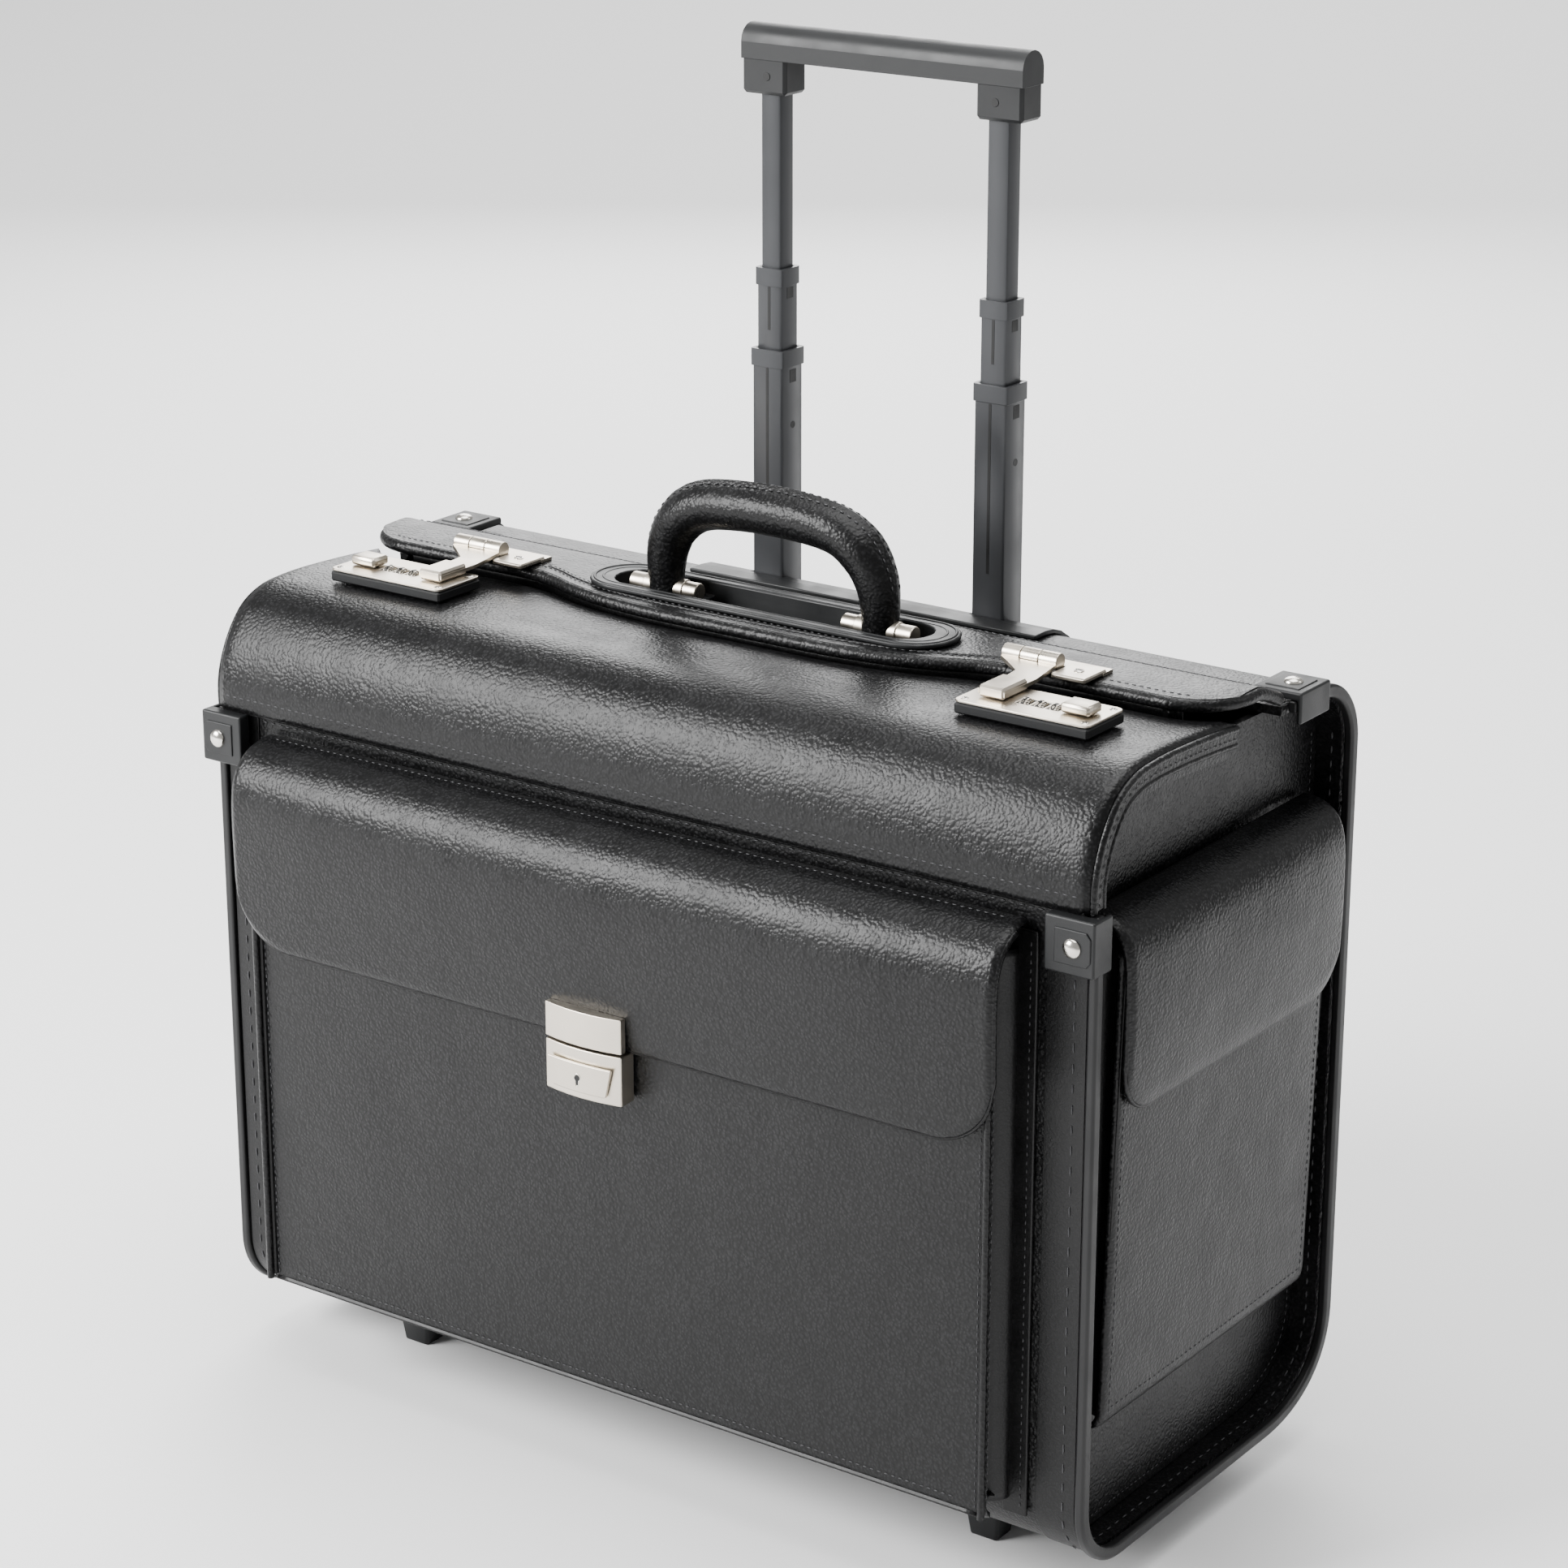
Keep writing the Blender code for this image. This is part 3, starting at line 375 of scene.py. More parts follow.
def surface(columns, rows, place, insidePoint):
    # open grid laid out by place(u, v), its faces turned away from insidePoint
    bm = bmesh.new()
    bmesh.ops.create_grid(bm, x_segments=columns, y_segments=rows, size=0.5)
    for v in bm.verts:
        v.co = place(min(1.0, max(0.0, v.co.x + 0.5)), min(1.0, max(0.0, v.co.y + 0.5)))
    return faceOut(bm, insidePoint)


def ribbon(path, shift, steps=1):
    # open path drawn out along shift
    bm = bmesh.new()
    verts = [bm.verts.new(p) for p in path]
    edges = [bm.edges.new(pair) for pair in zip(verts, verts[1:])]
    for _ in range(steps):
        grown = bmesh.ops.extrude_edge_only(bm, edges=edges)["geom"]
        moved = [v for v in grown if isinstance(v, bmesh.types.BMVert)]
        edges = [e for e in grown if isinstance(e, bmesh.types.BMEdge)]
        bmesh.ops.translate(bm, verts=moved, vec=Vector(shift) / steps)
    return bm


def drawnTube(rings, segments, place):
    # a ring of edges pulled through rings stations; place(i, k) gives each point
    bm = bmesh.new()
    spot = bm.verts.layers.int.new("spot")
    ring = bmesh.ops.create_circle(bm, segments=segments, radius=1.0)["verts"]
    edges = list(bm.edges)
    for k, v in enumerate(ring):
        v[spot] = k
        v.co = place(0, k)
    bm.faces.new(ring)
    for i in range(1, rings):
        grown = bmesh.ops.extrude_edge_only(bm, edges=edges)["geom"]
        edges = [e for e in grown if isinstance(e, bmesh.types.BMEdge)]
        ring = [v for v in grown if isinstance(v, bmesh.types.BMVert)]
        for v in ring:
            v.co = place(i, v[spot])
    bm.faces.new(sorted(ring, key=lambda v: v[spot]))
    return bm


def rod(name, a, b, radius, mat, body, segments=20, bevel=0.0, replaces=()):
    a = Vector(a)
    b = Vector(b)
    turn = (b - a).to_track_quat("Z", "Y").to_matrix().to_4x4()
    bm = bmesh.new()
    bmesh.ops.create_cone(bm, cap_ends=True, segments=segments, radius1=radius, radius2=radius,
                          depth=(b - a).length, matrix=Matrix.Translation((a + b) / 2) @ turn)
    piece = finishPiece(name, bm, mat, body, replaces)
    return addBevel(piece, bevel, 2) if bevel else piece


def turned(name, profile, centre, axis, mat, body, steps=28, replaces=()):
    # profile holds (along, radius) pairs from the foot to the middle of the top
    turn = Vector(axis).to_track_quat("Z", "Y").to_matrix().to_4x4()
    bm = bmesh.new()
    verts = [bm.verts.new((r, 0, h)) for h, r in profile]
    edges = [bm.edges.new(pair) for pair in zip(verts, verts[1:])]
    bmesh.ops.spin(bm, geom=verts + edges, cent=(0, 0, 0), axis=(0, 0, 1), angle=2 * pi,
                   steps=steps, use_merge=True)
    bmesh.ops.remove_doubles(bm, verts=bm.verts, dist=1e-6)
    bmesh.ops.transform(bm, matrix=Matrix.Translation(centre) @ turn, verts=bm.verts)
    return finishPiece(name, bm, mat, body, replaces)


def piping(name, path, radius, mat, body, closed=False, segments=3):
    # rolled edge or welt sewn into a seam
    data = bpy.data.curves.new(name, "CURVE")
    data.dimensions = "3D"
    data.bevel_depth = radius
    data.bevel_resolution = segments
    data.use_fill_caps = not closed
    line = data.splines.new("POLY")
    line.points.add(len(path) - 1)
    for point, p in zip(line.points, path):
        point.co = (*p, 1.0)
    line.use_cyclic_u = closed
    temp = bpy.data.objects.new(name, data)
    bpy.context.scene.collection.objects.link(temp)
    bpy.context.view_layer.update()
    graph = bpy.context.evaluated_depsgraph_get()
    mesh = bpy.data.meshes.new_from_object(temp.evaluated_get(graph))
    bpy.data.objects.remove(temp)
    bm = bmesh.new()
    bm.from_mesh(mesh)
    bpy.data.meshes.remove(mesh)
    return finishPiece(name, bm, mat, body)


def spaced(path, pitch):
    # points and directions at even spacing along a polyline
    path = [Vector(p) for p in path]
    total = sum((b - a).length for a, b in zip(path, path[1:]))
    count = max(1, int(round(total / pitch)))
    step = total / count
    out = []
    goal = step / 2
    run = 0.0
    for a, b in zip(path, path[1:]):
        length = (b - a).length
        while length > 1e-9 and goal <= run + length + 1e-9 and len(out) < count:
            out.append((a + (b - a) * ((goal - run) / length), (b - a).normalized()))
            goal += step
        run += length
    return out


def stitchRow(name, path, out, pitchMm, body, threadMm=0.6, share=0.62, lift=0.0002):
    # one mesh of short thread ends; out is the way the surface faces, or a function of the point
    bm = bmesh.new()
    for p, t in spaced(path, pitchMm / 1000):
        n = Vector(out(p)) if callable(out) else Vector(out)
        n = (n - t * n.dot(t)).normalized()
        turn = Matrix((t, n.cross(t), n)).transposed().to_4x4()
        size = Matrix.Diagonal((pitchMm * share / 2000, threadMm / 2000, threadMm / 2600, 1))
        bmesh.ops.create_icosphere(bm, subdivisions=1, radius=1.0,
                                   matrix=Matrix.Translation(p + n * lift) @ turn @ size)
    return finishPiece(name, bm, thread, body, closed=False, sharp=80)


def smoothPath(points, count):
    # Catmull-Rom line through points, then spaced evenly
    dims = len(points[0])
    pts = [Vector(p).to_3d() if dims == 2 else Vector(p) for p in points]
    fine = []
    for i in range(len(pts) - 1):
        p0 = pts[max(i - 1, 0)]
        p1 = pts[i]
        p2 = pts[i + 1]
        p3 = pts[min(i + 2, len(pts) - 1)]
        for k in range(8):
            t = k / 8
            fine.append(0.5 * (2 * p1 + (p2 - p0) * t + (2 * p0 - 5 * p1 + 4 * p2 - p3) * t * t
                               + (3 * p1 - p0 - 3 * p2 + p3) * t ** 3))
    fine.append(pts[-1])
    lengths = [0.0]
    for a, b in zip(fine, fine[1:]):
        lengths.append(lengths[-1] + (b - a).length)
    out = []
    j = 0
    for i in range(count):
        goal = lengths[-1] * i / (count - 1)
        while j < len(fine) - 2 and lengths[j + 1] < goal:
            j += 1
        span = lengths[j + 1] - lengths[j]
        p = fine[j] + (fine[j + 1] - fine[j]) * ((goal - lengths[j]) / span if span else 0)
        out.append(tuple(p[:dims]))
    return out


def along(path, v):
    i = min(int(v * (len(path) - 1) + 1e-7), len(path) - 2)
    f = v * (len(path) - 1) - i
    a = Vector(path[i])
    return a + (Vector(path[i + 1]) - a) * f


def offsetPath(path, d):
    # moves an open two-coordinate path to its left by d
    out = []
    for i, p in enumerate(path):
        a = Vector(path[max(i - 1, 0)])
        b = Vector(path[min(i + 1, len(path) - 1)])
        t = (b - a).normalized()
        scale = d
        if 0 < i < len(path) - 1:
            scale = d / max(0.5, abs(t.dot((Vector(p) - a).normalized())))
        out.append((p[0] - t[1] * scale, p[1] + t[0] * scale))
    return out


def arc(cy, cz, ry, rz, start, end, steps, power=2.0):
    out = []
    for k in range(steps + 1):
        a = radians(start + (end - start) * k / steps)
        c = cos(a)
        s = sin(a)
        out.append((cy + ry * (1 if c >= 0 else -1) * abs(c) ** (2 / power),
                    cz + rz * (1 if s >= 0 else -1) * abs(s) ** (2 / power)))
    return out


def stadium(cx, cy, halfLong, halfWide, steps=16):
    out = []
    for sx, a0 in ((1, -90), (-1, 90)):
        for k in range(steps + 1):
            a = radians(a0 + 180 * k / steps)
            out.append((cx + sx * (halfLong - halfWide) + halfWide * cos(a),
                        cy + halfWide * sin(a)))
    return out


def at(x, path):
    return [(x, y, z) for y, z in path]


# case body

wrap = {"halfWidth": 0.2308, "front": -0.0880, "back": 0.1235, "bottom": 0.0220,
             "top": 0.3640, "mouth": 0.3180, "wall": 0.0040,
             "cornerFront": 0.030, "cornerTop": 0.030, "cornerRear": (0.058, 0.044, 2.3)}


def shellPath(fine=1):
    r = wrap["cornerFront"]
    t = wrap["cornerTop"]
    ry, rz, power = wrap["cornerRear"]
    tall = wrap["mouth"] - wrap["bottom"] - r
    path = [(wrap["front"], wrap["mouth"] - tall * k / 6) for k in range(6)]
    path += arc(wrap["front"] + r, wrap["bottom"] + r, r, r, 180, 270, 8 * fine)
    path += [(-0.03, wrap["bottom"]), (0.02, wrap["bottom"])]
    path += arc(wrap["back"] - ry, wrap["bottom"] + rz, ry, rz, 270, 360, 12 * fine, power)
    path += [(wrap["back"], 0.12), (wrap["back"], 0.18), (wrap["back"], 0.26)]
    path += arc(wrap["back"] - t, wrap["top"] - t, t, t, 0, 90, 8 * fine)
    path += [(0.0635, wrap["top"])]
    return path


shellLine = shellPath(2)
caseMiddle = (0, 0.018, 0.19)
bm = ribbon(at(-wrap["halfWidth"], shellLine), (2 * wrap["halfWidth"], 0, 0), 12)
shell = finishPiece("shell.leather", faceOut(bm, caseMiddle), leather, "case", ("shell",),
                    closed=False)
addWall(shell, wrap["wall"])
# openings for the wheel housings and for the trolley tubes
cuts = bmesh.new()
for s, sign in sides:
    low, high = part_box("wheel_housing_" + s)
    joinInto(cuts, block(low.x - 0.0003, high.x + 0.0003, low.y - 0.0003, 0.14, 0.0, high.z))
    low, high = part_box("stage1_" + s)
    joinInto(cuts, block(low.x + 0.0004, high.x - 0.0004, low.y + 0.0004, high.y - 0.0004,
                         0.34, 0.38))
cutAway(shell, cuts, "shellCuts")


def outwardShell(p):
    # the way the wrap faces at p, from the nearest stretch of its outline
    near = min(range(len(shellLine) - 1),
               key=lambda i: (Vector(shellLine[i]) - Vector((p.y, p.z))).length)
    t = (Vector(shellLine[near + 1]) - Vector(shellLine[near])).normalized()
    return Vector((0, t.y, -t.x))


# piping round both ends, rounded and a little proud of the leather
rimLooks = {"inner": 0.2312, "wide": 0.0048, "proud": 0.0025, "deep": 0.0060,
            "bevel": 0.0016}
rimLine = [(wrap["front"], 0.3176)] + shellLine[1:-1] + [(0.0675, wrap["top"])]
for s, sign in sides:
    path = at(sign * rimLooks["inner"], offsetPath(rimLine, -rimLooks["proud"]))
    bm = ribbon(path, (sign * rimLooks["wide"], 0, 0))
    faceOut(bm, (sign * rimLooks["inner"], 0.018, 0.19))
    rim = finishPiece("rim_" + s + ".piping", bm, pvcPiping, "case", ("rim_" + s,), closed=False)
    addWall(rim, rimLooks["deep"])
    addBevel(rim, rimLooks["bevel"], 3, 50)

# leather tape sewn over both ends of the wrap, with its long stitches
tapeLooks = {"inner": 0.2115, "outer": 0.2306, "proud": 0.0007, "bevel": 0.0003,
             "stitchX": 0.2248, "stitchMm": 9.0, "lipStitchX": 0.2262, "lipStitchMm": 6.5,
             "endStitchX": 0.2186, "endStitchMm": 3.6}
for s, sign in sides:
    line = offsetPath([p for p in shellLine if p[1] < 0.345 or p[0] < 0][:-2],
                      -tapeLooks["proud"])
    bm = ribbon(at(sign * tapeLooks["inner"], line),
                (sign * (tapeLooks["outer"] - tapeLooks["inner"]), 0, 0), 3)
    faceOut(bm, caseMiddle)
    tape = finishPiece("edge_tape_" + s, bm, binding, "case", closed=False)
    addWall(tape, tapeLooks["proud"])
    addBevel(tape, tapeLooks["bevel"], 2, 60)
    stitchRow("edge_tape_stitch_" + s, at(sign * tapeLooks["stitchX"], line), outwardShell,
              tapeLooks["stitchMm"], "case", 0.9, 0.55)
    # inside the lip: stitches on the turned-in edge, and a finer row on the end board
    inner = offsetPath(shellLine, wrap["wall"])
    lip = [p for p in inner if p[1] < 0.34 and (p[0] > -0.07 or p[1] < 0.20)]
    stitchRow("lip_stitch_" + s, at(sign * tapeLooks["lipStitchX"], lip),
              lambda p: -outwardShell(p), tapeLooks["lipStitchMm"], "case", 0.8, 0.6)
    board = offsetPath(shellLine, wrap["wall"] + 0.0050)
    board = [p for p in board if p[1] < 0.34 and (p[0] > -0.07 or p[1] < 0.11)]
    stitchRow("end_stitch_" + s, at(sign * tapeLooks["endStitchX"], board), (sign, 0, 0),
              tapeLooks["endStitchMm"], "case", share=0.66)
    refined("end_panel_" + s, leather, 0.0012, 3, 30)

# row of stitches that closes the mouth above the front pocket
stitchRow("mouth_stitch", [(-0.210, -0.0881, 0.3150), (0.210, -0.0881, 0.3150)], (0, -1, 0), 4.5,
          "case", 0.7)
print("case body made")

# corner caps, rivets, feet, wheels

capLooks = {"bevel": 0.0011, "padBevel": 0.0005, "frontX": 0.2285, "frontZ": 0.3058,
            "rearX": 0.2277, "rearY": 0.079,
            "rivet": [(0.0, 0.0042), (0.0006, 0.0042), (0.0014, 0.0036), (0.0020, 0.0024),
                      (0.0023, 0.0010), (0.0024, 0.0)]}
wheelLooks = {"radius": 0.0250, "steps": 48}
for s, sign in sides:
    refined("cap_front_" + s, absPlastic, capLooks["bevel"], 3)
    refined("cap_rear_" + s, absPlastic, capLooks["bevel"], 3)
    # raised pad round the rivet
    low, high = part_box("cap_front_" + s)
    cx = sign * capLooks["frontX"]
    pad = [(cx - sign * 0.0085, 0.2985), (cx + sign * 0.0065, 0.2985),
           (cx + sign * 0.0085, 0.3010), (cx + sign * 0.0085, 0.3110),
           (cx + sign * 0.0065, 0.3135), (cx - sign * 0.0085, 0.3135)]
    piece = finishPiece("cap_front_pad_" + s, extruded(pad, low.y - 0.0006, low.y + 0.001, "Y"),
                        absPlastic, "case")
    addBevel(piece, capLooks["padBevel"], 2)
    turned("rivet_front_" + s, capLooks["rivet"], (cx, low.y - 0.0004, capLooks["frontZ"]),
           (0, -1, 0), polishedNickel, "case")
    low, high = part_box("cap_rear_" + s)
    pad = [(sign * 0.2185, 0.0705), (sign * 0.2350, 0.0705), (sign * 0.2350, 0.0875),
           (sign * 0.2185, 0.0875)]
    piece = finishPiece("cap_rear_pad_" + s, extruded(pad, high.z - 0.001, high.z + 0.0005, "Z"),
                        absPlastic, "case")
    addBevel(piece, capLooks["padBevel"], 2)
    turned("rivet_rear_" + s, capLooks["rivet"],
           (sign * capLooks["rearX"], capLooks["rearY"], high.z + 0.0002), (0, 0, 1),
           polishedNickel, "case")
    refined("foot_" + s, absPlastic, 0.0012, 3)
    refined("wheel_housing_" + s, absPlastic, 0.0008, 2)
    low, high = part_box("wheel_" + s)
    mid = (low + high) / 2
    half = (high.x - low.x) / 2
    r = wheelLooks["radius"]
    tyre = [(-half, 0.0028), (-half, 0.0050), (-half + 0.0008, 0.0052), (-half + 0.0022, 0.0150),
            (-half + 0.0006, 0.0170), (-half + 0.0002, 0.0215), (-half + 0.0010, 0.0238),
            (-half + 0.0030, r), (-0.0015, r), (-0.0010, r - 0.0006), (0.0010, r - 0.0006),
            (0.0015, r), (half - 0.0030, r), (half - 0.0010, 0.0238), (half - 0.0002, 0.0215),
            (half - 0.0006, 0.0170), (half - 0.0022, 0.0150), (half - 0.0008, 0.0052),
            (half, 0.0050), (half, 0.0028), (-half, 0.0028)]
    turned("wheel_" + s + ".tyre", tyre, mid, (1, 0, 0), castRubber, "wheel_" + s,
           wheelLooks["steps"], ("wheel_" + s,))
    refined("tube_fixed_" + s, coatedTube, 0)
refined("partition", lining, 0.0004, 1)
print("caps and wheels made")


# front lid

lidLooks = {"halfWidth": 0.2322, "wall": 0.0033, "puff": 0.0034, "columns": 120, "rows": 60,
            "pipingX": 0.2329, "pipingRadius": 0.0017, "lipX": 0.2338, "lipDepth": 0.0105,
            "lipWall": 0.0024, "lipEdgeX": 0.2330, "lipEdgeRadius": 0.0014,
            "lipStitchX": 0.2345, "hemRadius": 0.0016}
lidPoints = [(-0.0926, 0.3188), (-0.0928, 0.3235), (-0.0925, 0.3300), (-0.0912, 0.3365),
             (-0.0885, 0.3440), (-0.0848, 0.3512), (-0.0800, 0.3580), (-0.0742, 0.3640),
             (-0.0665, 0.3685), (-0.0575, 0.3712), (-0.0470, 0.3722), (-0.0350, 0.3725),
             (-0.0180, 0.3720), (0.0020, 0.3709), (0.0215, 0.3693)]
lidLine = smoothPath(lidPoints, 61)
lidNormals = [Vector(q) - Vector(p) for p, q in zip(lidLine, offsetPath(lidLine, 1.0))]

rearPoints = [(0.0, -0.0135), (0.030, -0.0135), (0.050, -0.0130), (0.070, -0.0108),
              (0.085, -0.0078), (0.099, -0.0035), (0.110, 0.0012), (0.120, 0.0042),
              (0.132, 0.0060), (0.150, 0.0060), (0.205, 0.0060)]
rearHalf = smoothPath(rearPoints, 80)


def rearFront(x, grow=0.0):
    # y of the rear lid's front edge at x
    x = abs(x)
    if x >= 0.205:
        k = min(1.0, (x - 0.205) / (0.0295 + grow))
        return 0.036 - (0.030 + grow) * sqrt(max(0.0, 1 - k * k))
    for a, c in zip(rearHalf, rearHalf[1:]):
        if x <= c[0]:
            f = (x - a[0]) / max(1e-9, c[0] - a[0])
            return a[1] + (c[1] - a[1]) * f - grow
    return rearHalf[-1][1] - grow


def lidSurface(x, v, sunk=0.0):
    i = min(int(v * 60 + 1e-7), 59)
    f = v * 60 - i
    p = Vector(lidLine[i]).lerp(Vector(lidLine[i + 1]), f)
    n = lidNormals[i].lerp(lidNormals[i + 1], f).normalized()
    flat = 1 - (min(1.0, abs(x) / 0.2345)) ** 3
    puff = lidLooks["puff"] * flat * (sin(pi * v / 0.57) ** 2 if v < 0.57 else 0.0)
    # soft hollows where the leather isn't glued down
    puff += 0.0005 * flat * noise.noise(Vector((x * 9, p[1] * 22, p[0] * 22))) * sin(pi * v)
    roll = max(0.0, abs(x) - (lidLooks["halfWidth"] - 0.0025)) / 0.0025
    q = p + n * (puff - 0.0012 * roll * roll - sunk)
    return Vector((x, q[0], q[1]))


def lidEnd(x):
    goal = min(0.0215, rearFront(x, 0.0008))
    for i in range(60, 0, -1):
        if lidLine[i - 1][0] <= goal:
            f = (goal - lidLine[i - 1][0]) / (lidLine[i][0] - lidLine[i - 1][0])
            return min(1.0, (i - 1 + f) / 60)
    return 1.0


def lidPlace(u, v):
    x = lidLooks["halfWidth"] * (2 * u - 1)
    return lidSurface(x, v * lidEnd(x))


bm = surface(lidLooks["columns"], lidLooks["rows"], lidPlace, (0, 0, 0.30))
frontLid = finishPiece("front_lid.leather", bm, leather, "front_lid", ("front_lid",),
                       closed=False)
addWall(frontLid, lidLooks["wall"])
for s, sign in sides:
    edge = [tuple(lidSurface(sign * lidLooks["pipingX"], v / 60, 0.0012)) for v in range(61)]
    piping("lid_piping_" + s, edge, lidLooks["pipingRadius"], leather, "front_lid")
    # the lid's turned-down lip over each end
    lipPath = offsetPath(lidLine, -0.0018)
    bm = bmesh.new()
    verts = [bm.verts.new(q) for q in at(sign * lidLooks["lipX"], lipPath)]
    edges = [bm.edges.new(pair) for pair in zip(verts, verts[1:])]
    grown = bmesh.ops.extrude_edge_only(bm, edges=edges)["geom"]
    deep = offsetPath(lidLine, -lidLooks["lipDepth"])
    for v in [g for g in grown if isinstance(g, bmesh.types.BMVert)]:
        i = min(range(61), key=lambda n: (Vector(lipPath[n]) - Vector((v.co.y, v.co.z))).length)
        v.co = (sign * lidLooks["lipX"], *deep[i])
    faceOut(bm, (0, 0, 0.3))
    lip = finishPiece("lid_lip_" + s, bm, leather, "front_lid", closed=False)
    addWall(lip, lidLooks["lipWall"])
    addBevel(lip, 0.0007, 2, 50)
    edge = at(sign * lidLooks["lipEdgeX"], offsetPath(lidLine, -0.0100))
    piping("lid_lip_edge_" + s, edge, lidLooks["lipEdgeRadius"], leather, "front_lid")
    row = at(sign * lidLooks["lipStitchX"], offsetPath(lidLine, -0.0070))
    stitchRow("lid_lip_stitch_" + s, row, (sign, 0, 0), 4.0, "front_lid", lift=-0.0003)
hem = [tuple(lidSurface(x / 1000, 0.0, 0.0019)) for x in range(-230, 231, 5)]
piping("lid_hem", hem, lidLooks["hemRadius"], leather, "front_lid")
row = [tuple(lidSurface(x / 1000, 0.045, 0.0)) for x in range(-228, 229, 4)]
stitchRow("lid_hem_stitch", row, (0, -1, 0), 4.2, "front_lid", 0.65, lift=0.0)
print("front lid made")


# rear lid and oval handle mount

handleLooks = {"y": 0.0175, "pivotZ": 0.3795, "thick": 0.0086, "deep": 0.0072,
               "growThick": 0.0021, "growDeep": 0.0045, "ridge": 0.0011, "stations": 110,
               "segments": 40, "pin": (0.0395, 0.0763, 0.0042),
               "collar": (0.0466, 0.0684, 0.0048)}
rearLooks = {"top": 0.3788, "halfWidth": 0.2340, "edgeRadius": 0.0029, "back": 0.0600,
             "wall": 0.0050, "stitchMm": 3.6, "hingeRows": (0.0440, 0.0490, 0.0575)}


def rearTop(y):
    # flat, then down to the hinge line
    k = max(0.0, (y - 0.0400) / 0.0200)
    return rearLooks["top"] - 0.0072 * min(1.0, k) ** 1.3


def rearPlace(u, v):
    x = (rearLooks["halfWidth"] - 0.0026) * sin(pi / 2 * (2 * u - 1))
    y0 = rearFront(x) + 0.0028
    y = y0 + (rearLooks["back"] - y0) * v
    crown = 0.0005 * sin(pi * min(1.0, v * 1.4)) * min(1.0, max(0.0, abs(x) - 0.10) / 0.03)
    return Vector((x, y, rearTop(y) + crown))


bm = surface(220, 40, rearPlace, (0, 0.03, 0.30))
rearLid = finishPiece("rear_lid.leather", bm, leather, "rear_lid", ("rear_lid",), closed=False)
addWall(rearLid, rearLooks["wall"])
bm = extruded(stadium(0, handleLooks["y"], 0.0912, 0.0172), 0.35, 0.40, "Z")
cutAway(rearLid, bm, "ovalCut")
r = rearLooks["edgeRadius"]
corner = [(0.2050 + (0.0292 - r) * sin(radians(a)), 0.0360 - (0.0300 - r) * cos(radians(a)))
          for a in range(0, 91, 6)]
corner += [(0.2050 + 0.0292 - r, y) for y in (0.0400, 0.0460, 0.0520, 0.0590)]
half = [(x, y + r) for x, y in rearPoints if x < 0.2] + corner
half = smoothPath(half, 240)
edge = [(-x, y, rearTop(y) - 0.0030) for x, y in half[::-1]]
edge += [(x, y, rearTop(y) - 0.0030) for x, y in half[1:]]
piping("rear_lid_roll", edge, r, leather, "rear_lid", segments=5)
# lining turned down behind the front edge, which closes the gap between the lids
drop = [(x, y + 0.0030, 0.3735) for x, y, _ in edge if abs(x) < 0.2120]
bm = faceOut(ribbon(drop, (0, 0.0004, -0.0058)), (0, 0.3, 0.37))
curtain = finishPiece("rear_lid_curtain", bm, binding, "rear_lid", closed=False)
addWall(curtain, 0.0008)


def rearInset(d, reach):
    # line on top of the rear lid, d inside its front edge, over |x| <= reach
    out = []
    for k in range(-90, 91):
        x = reach * k / 90
        y = rearFront(x) + d
        slope = (rearFront(x + 0.0005) - rearFront(x - 0.0005)) / 0.001
        out.append((x + slope * d * 0.4, y, rearTop(y) + 0.0001))
    return out


stitchRow("rear_edge_stitch", rearInset(0.0075, 0.214), (0, 0, 1), rearLooks["stitchMm"],
          "rear_lid", share=0.64)
stitchRow("rear_swell_stitch", rearInset(0.0110, 0.128), (0, 0, 1), rearLooks["stitchMm"],
          "rear_lid", share=0.64)
piping("rear_swell_welt", [(x, y, z - 0.0002) for x, y, z in rearInset(0.0092, 0.122)], 0.0007,
       leather, "rear_lid")
for k, y in enumerate(rearLooks["hingeRows"]):
    row = [(x / 1000, y, rearTop(y) + 0.0002) for x in range(-226, 227, 6)]
    stitchRow("rear_hinge_stitch_%d" % (k + 1), row, (0, -0.3, 1),
              rearLooks["stitchMm"], "rear_lid", share=0.64)
weltY = rearLooks["hingeRows"][-1] - 0.0035
row = [(x / 1000, weltY, rearTop(weltY)) for x in range(-228, 229, 6)]
piping("rear_hinge_welt", row, 0.0006, binding, "rear_lid")
# flexible strip that joins the rear lid to the wrap
stripLooks = {"left": -0.2135, "long": 0.427, "wall": 0.0008,
              "line": [(0.0585, 0.3705), (0.0600, 0.3698), (0.0620, 0.3680), (0.0645, 0.3662),
                       (0.0680, 0.3655)]}
bm = ribbon(at(stripLooks["left"], stripLooks["line"]), (stripLooks["long"], 0, 0), 24)
strip = finishPiece("hinge_strip", faceOut(bm, (0, 0.04, 0.30)), binding, "case", closed=False)
addWall(strip, stripLooks["wall"])

bezelLooks = {"halfLong": 0.0965, "halfWide": 0.0200, "ribRadius": 0.0007,
              "ribs": ((-0.0022, 0.3813), (-0.0062, 0.3811))}
refined("handle_bezel", absPlastic, 0.0009, 3, name="handle_bezel.moulded")
for k, (grow, z) in enumerate(bezelLooks["ribs"]):
    ring = [(x, y, z) for x, y in stadium(0, handleLooks["y"], bezelLooks["halfLong"] + grow,
                                          bezelLooks["halfWide"] + grow, 24)]
    piping("bezel_rib_%d" % (k + 1), ring, bezelLooks["ribRadius"], absPlastic, "rear_lid",
           closed=True)
print("rear lid made")


# carry handle

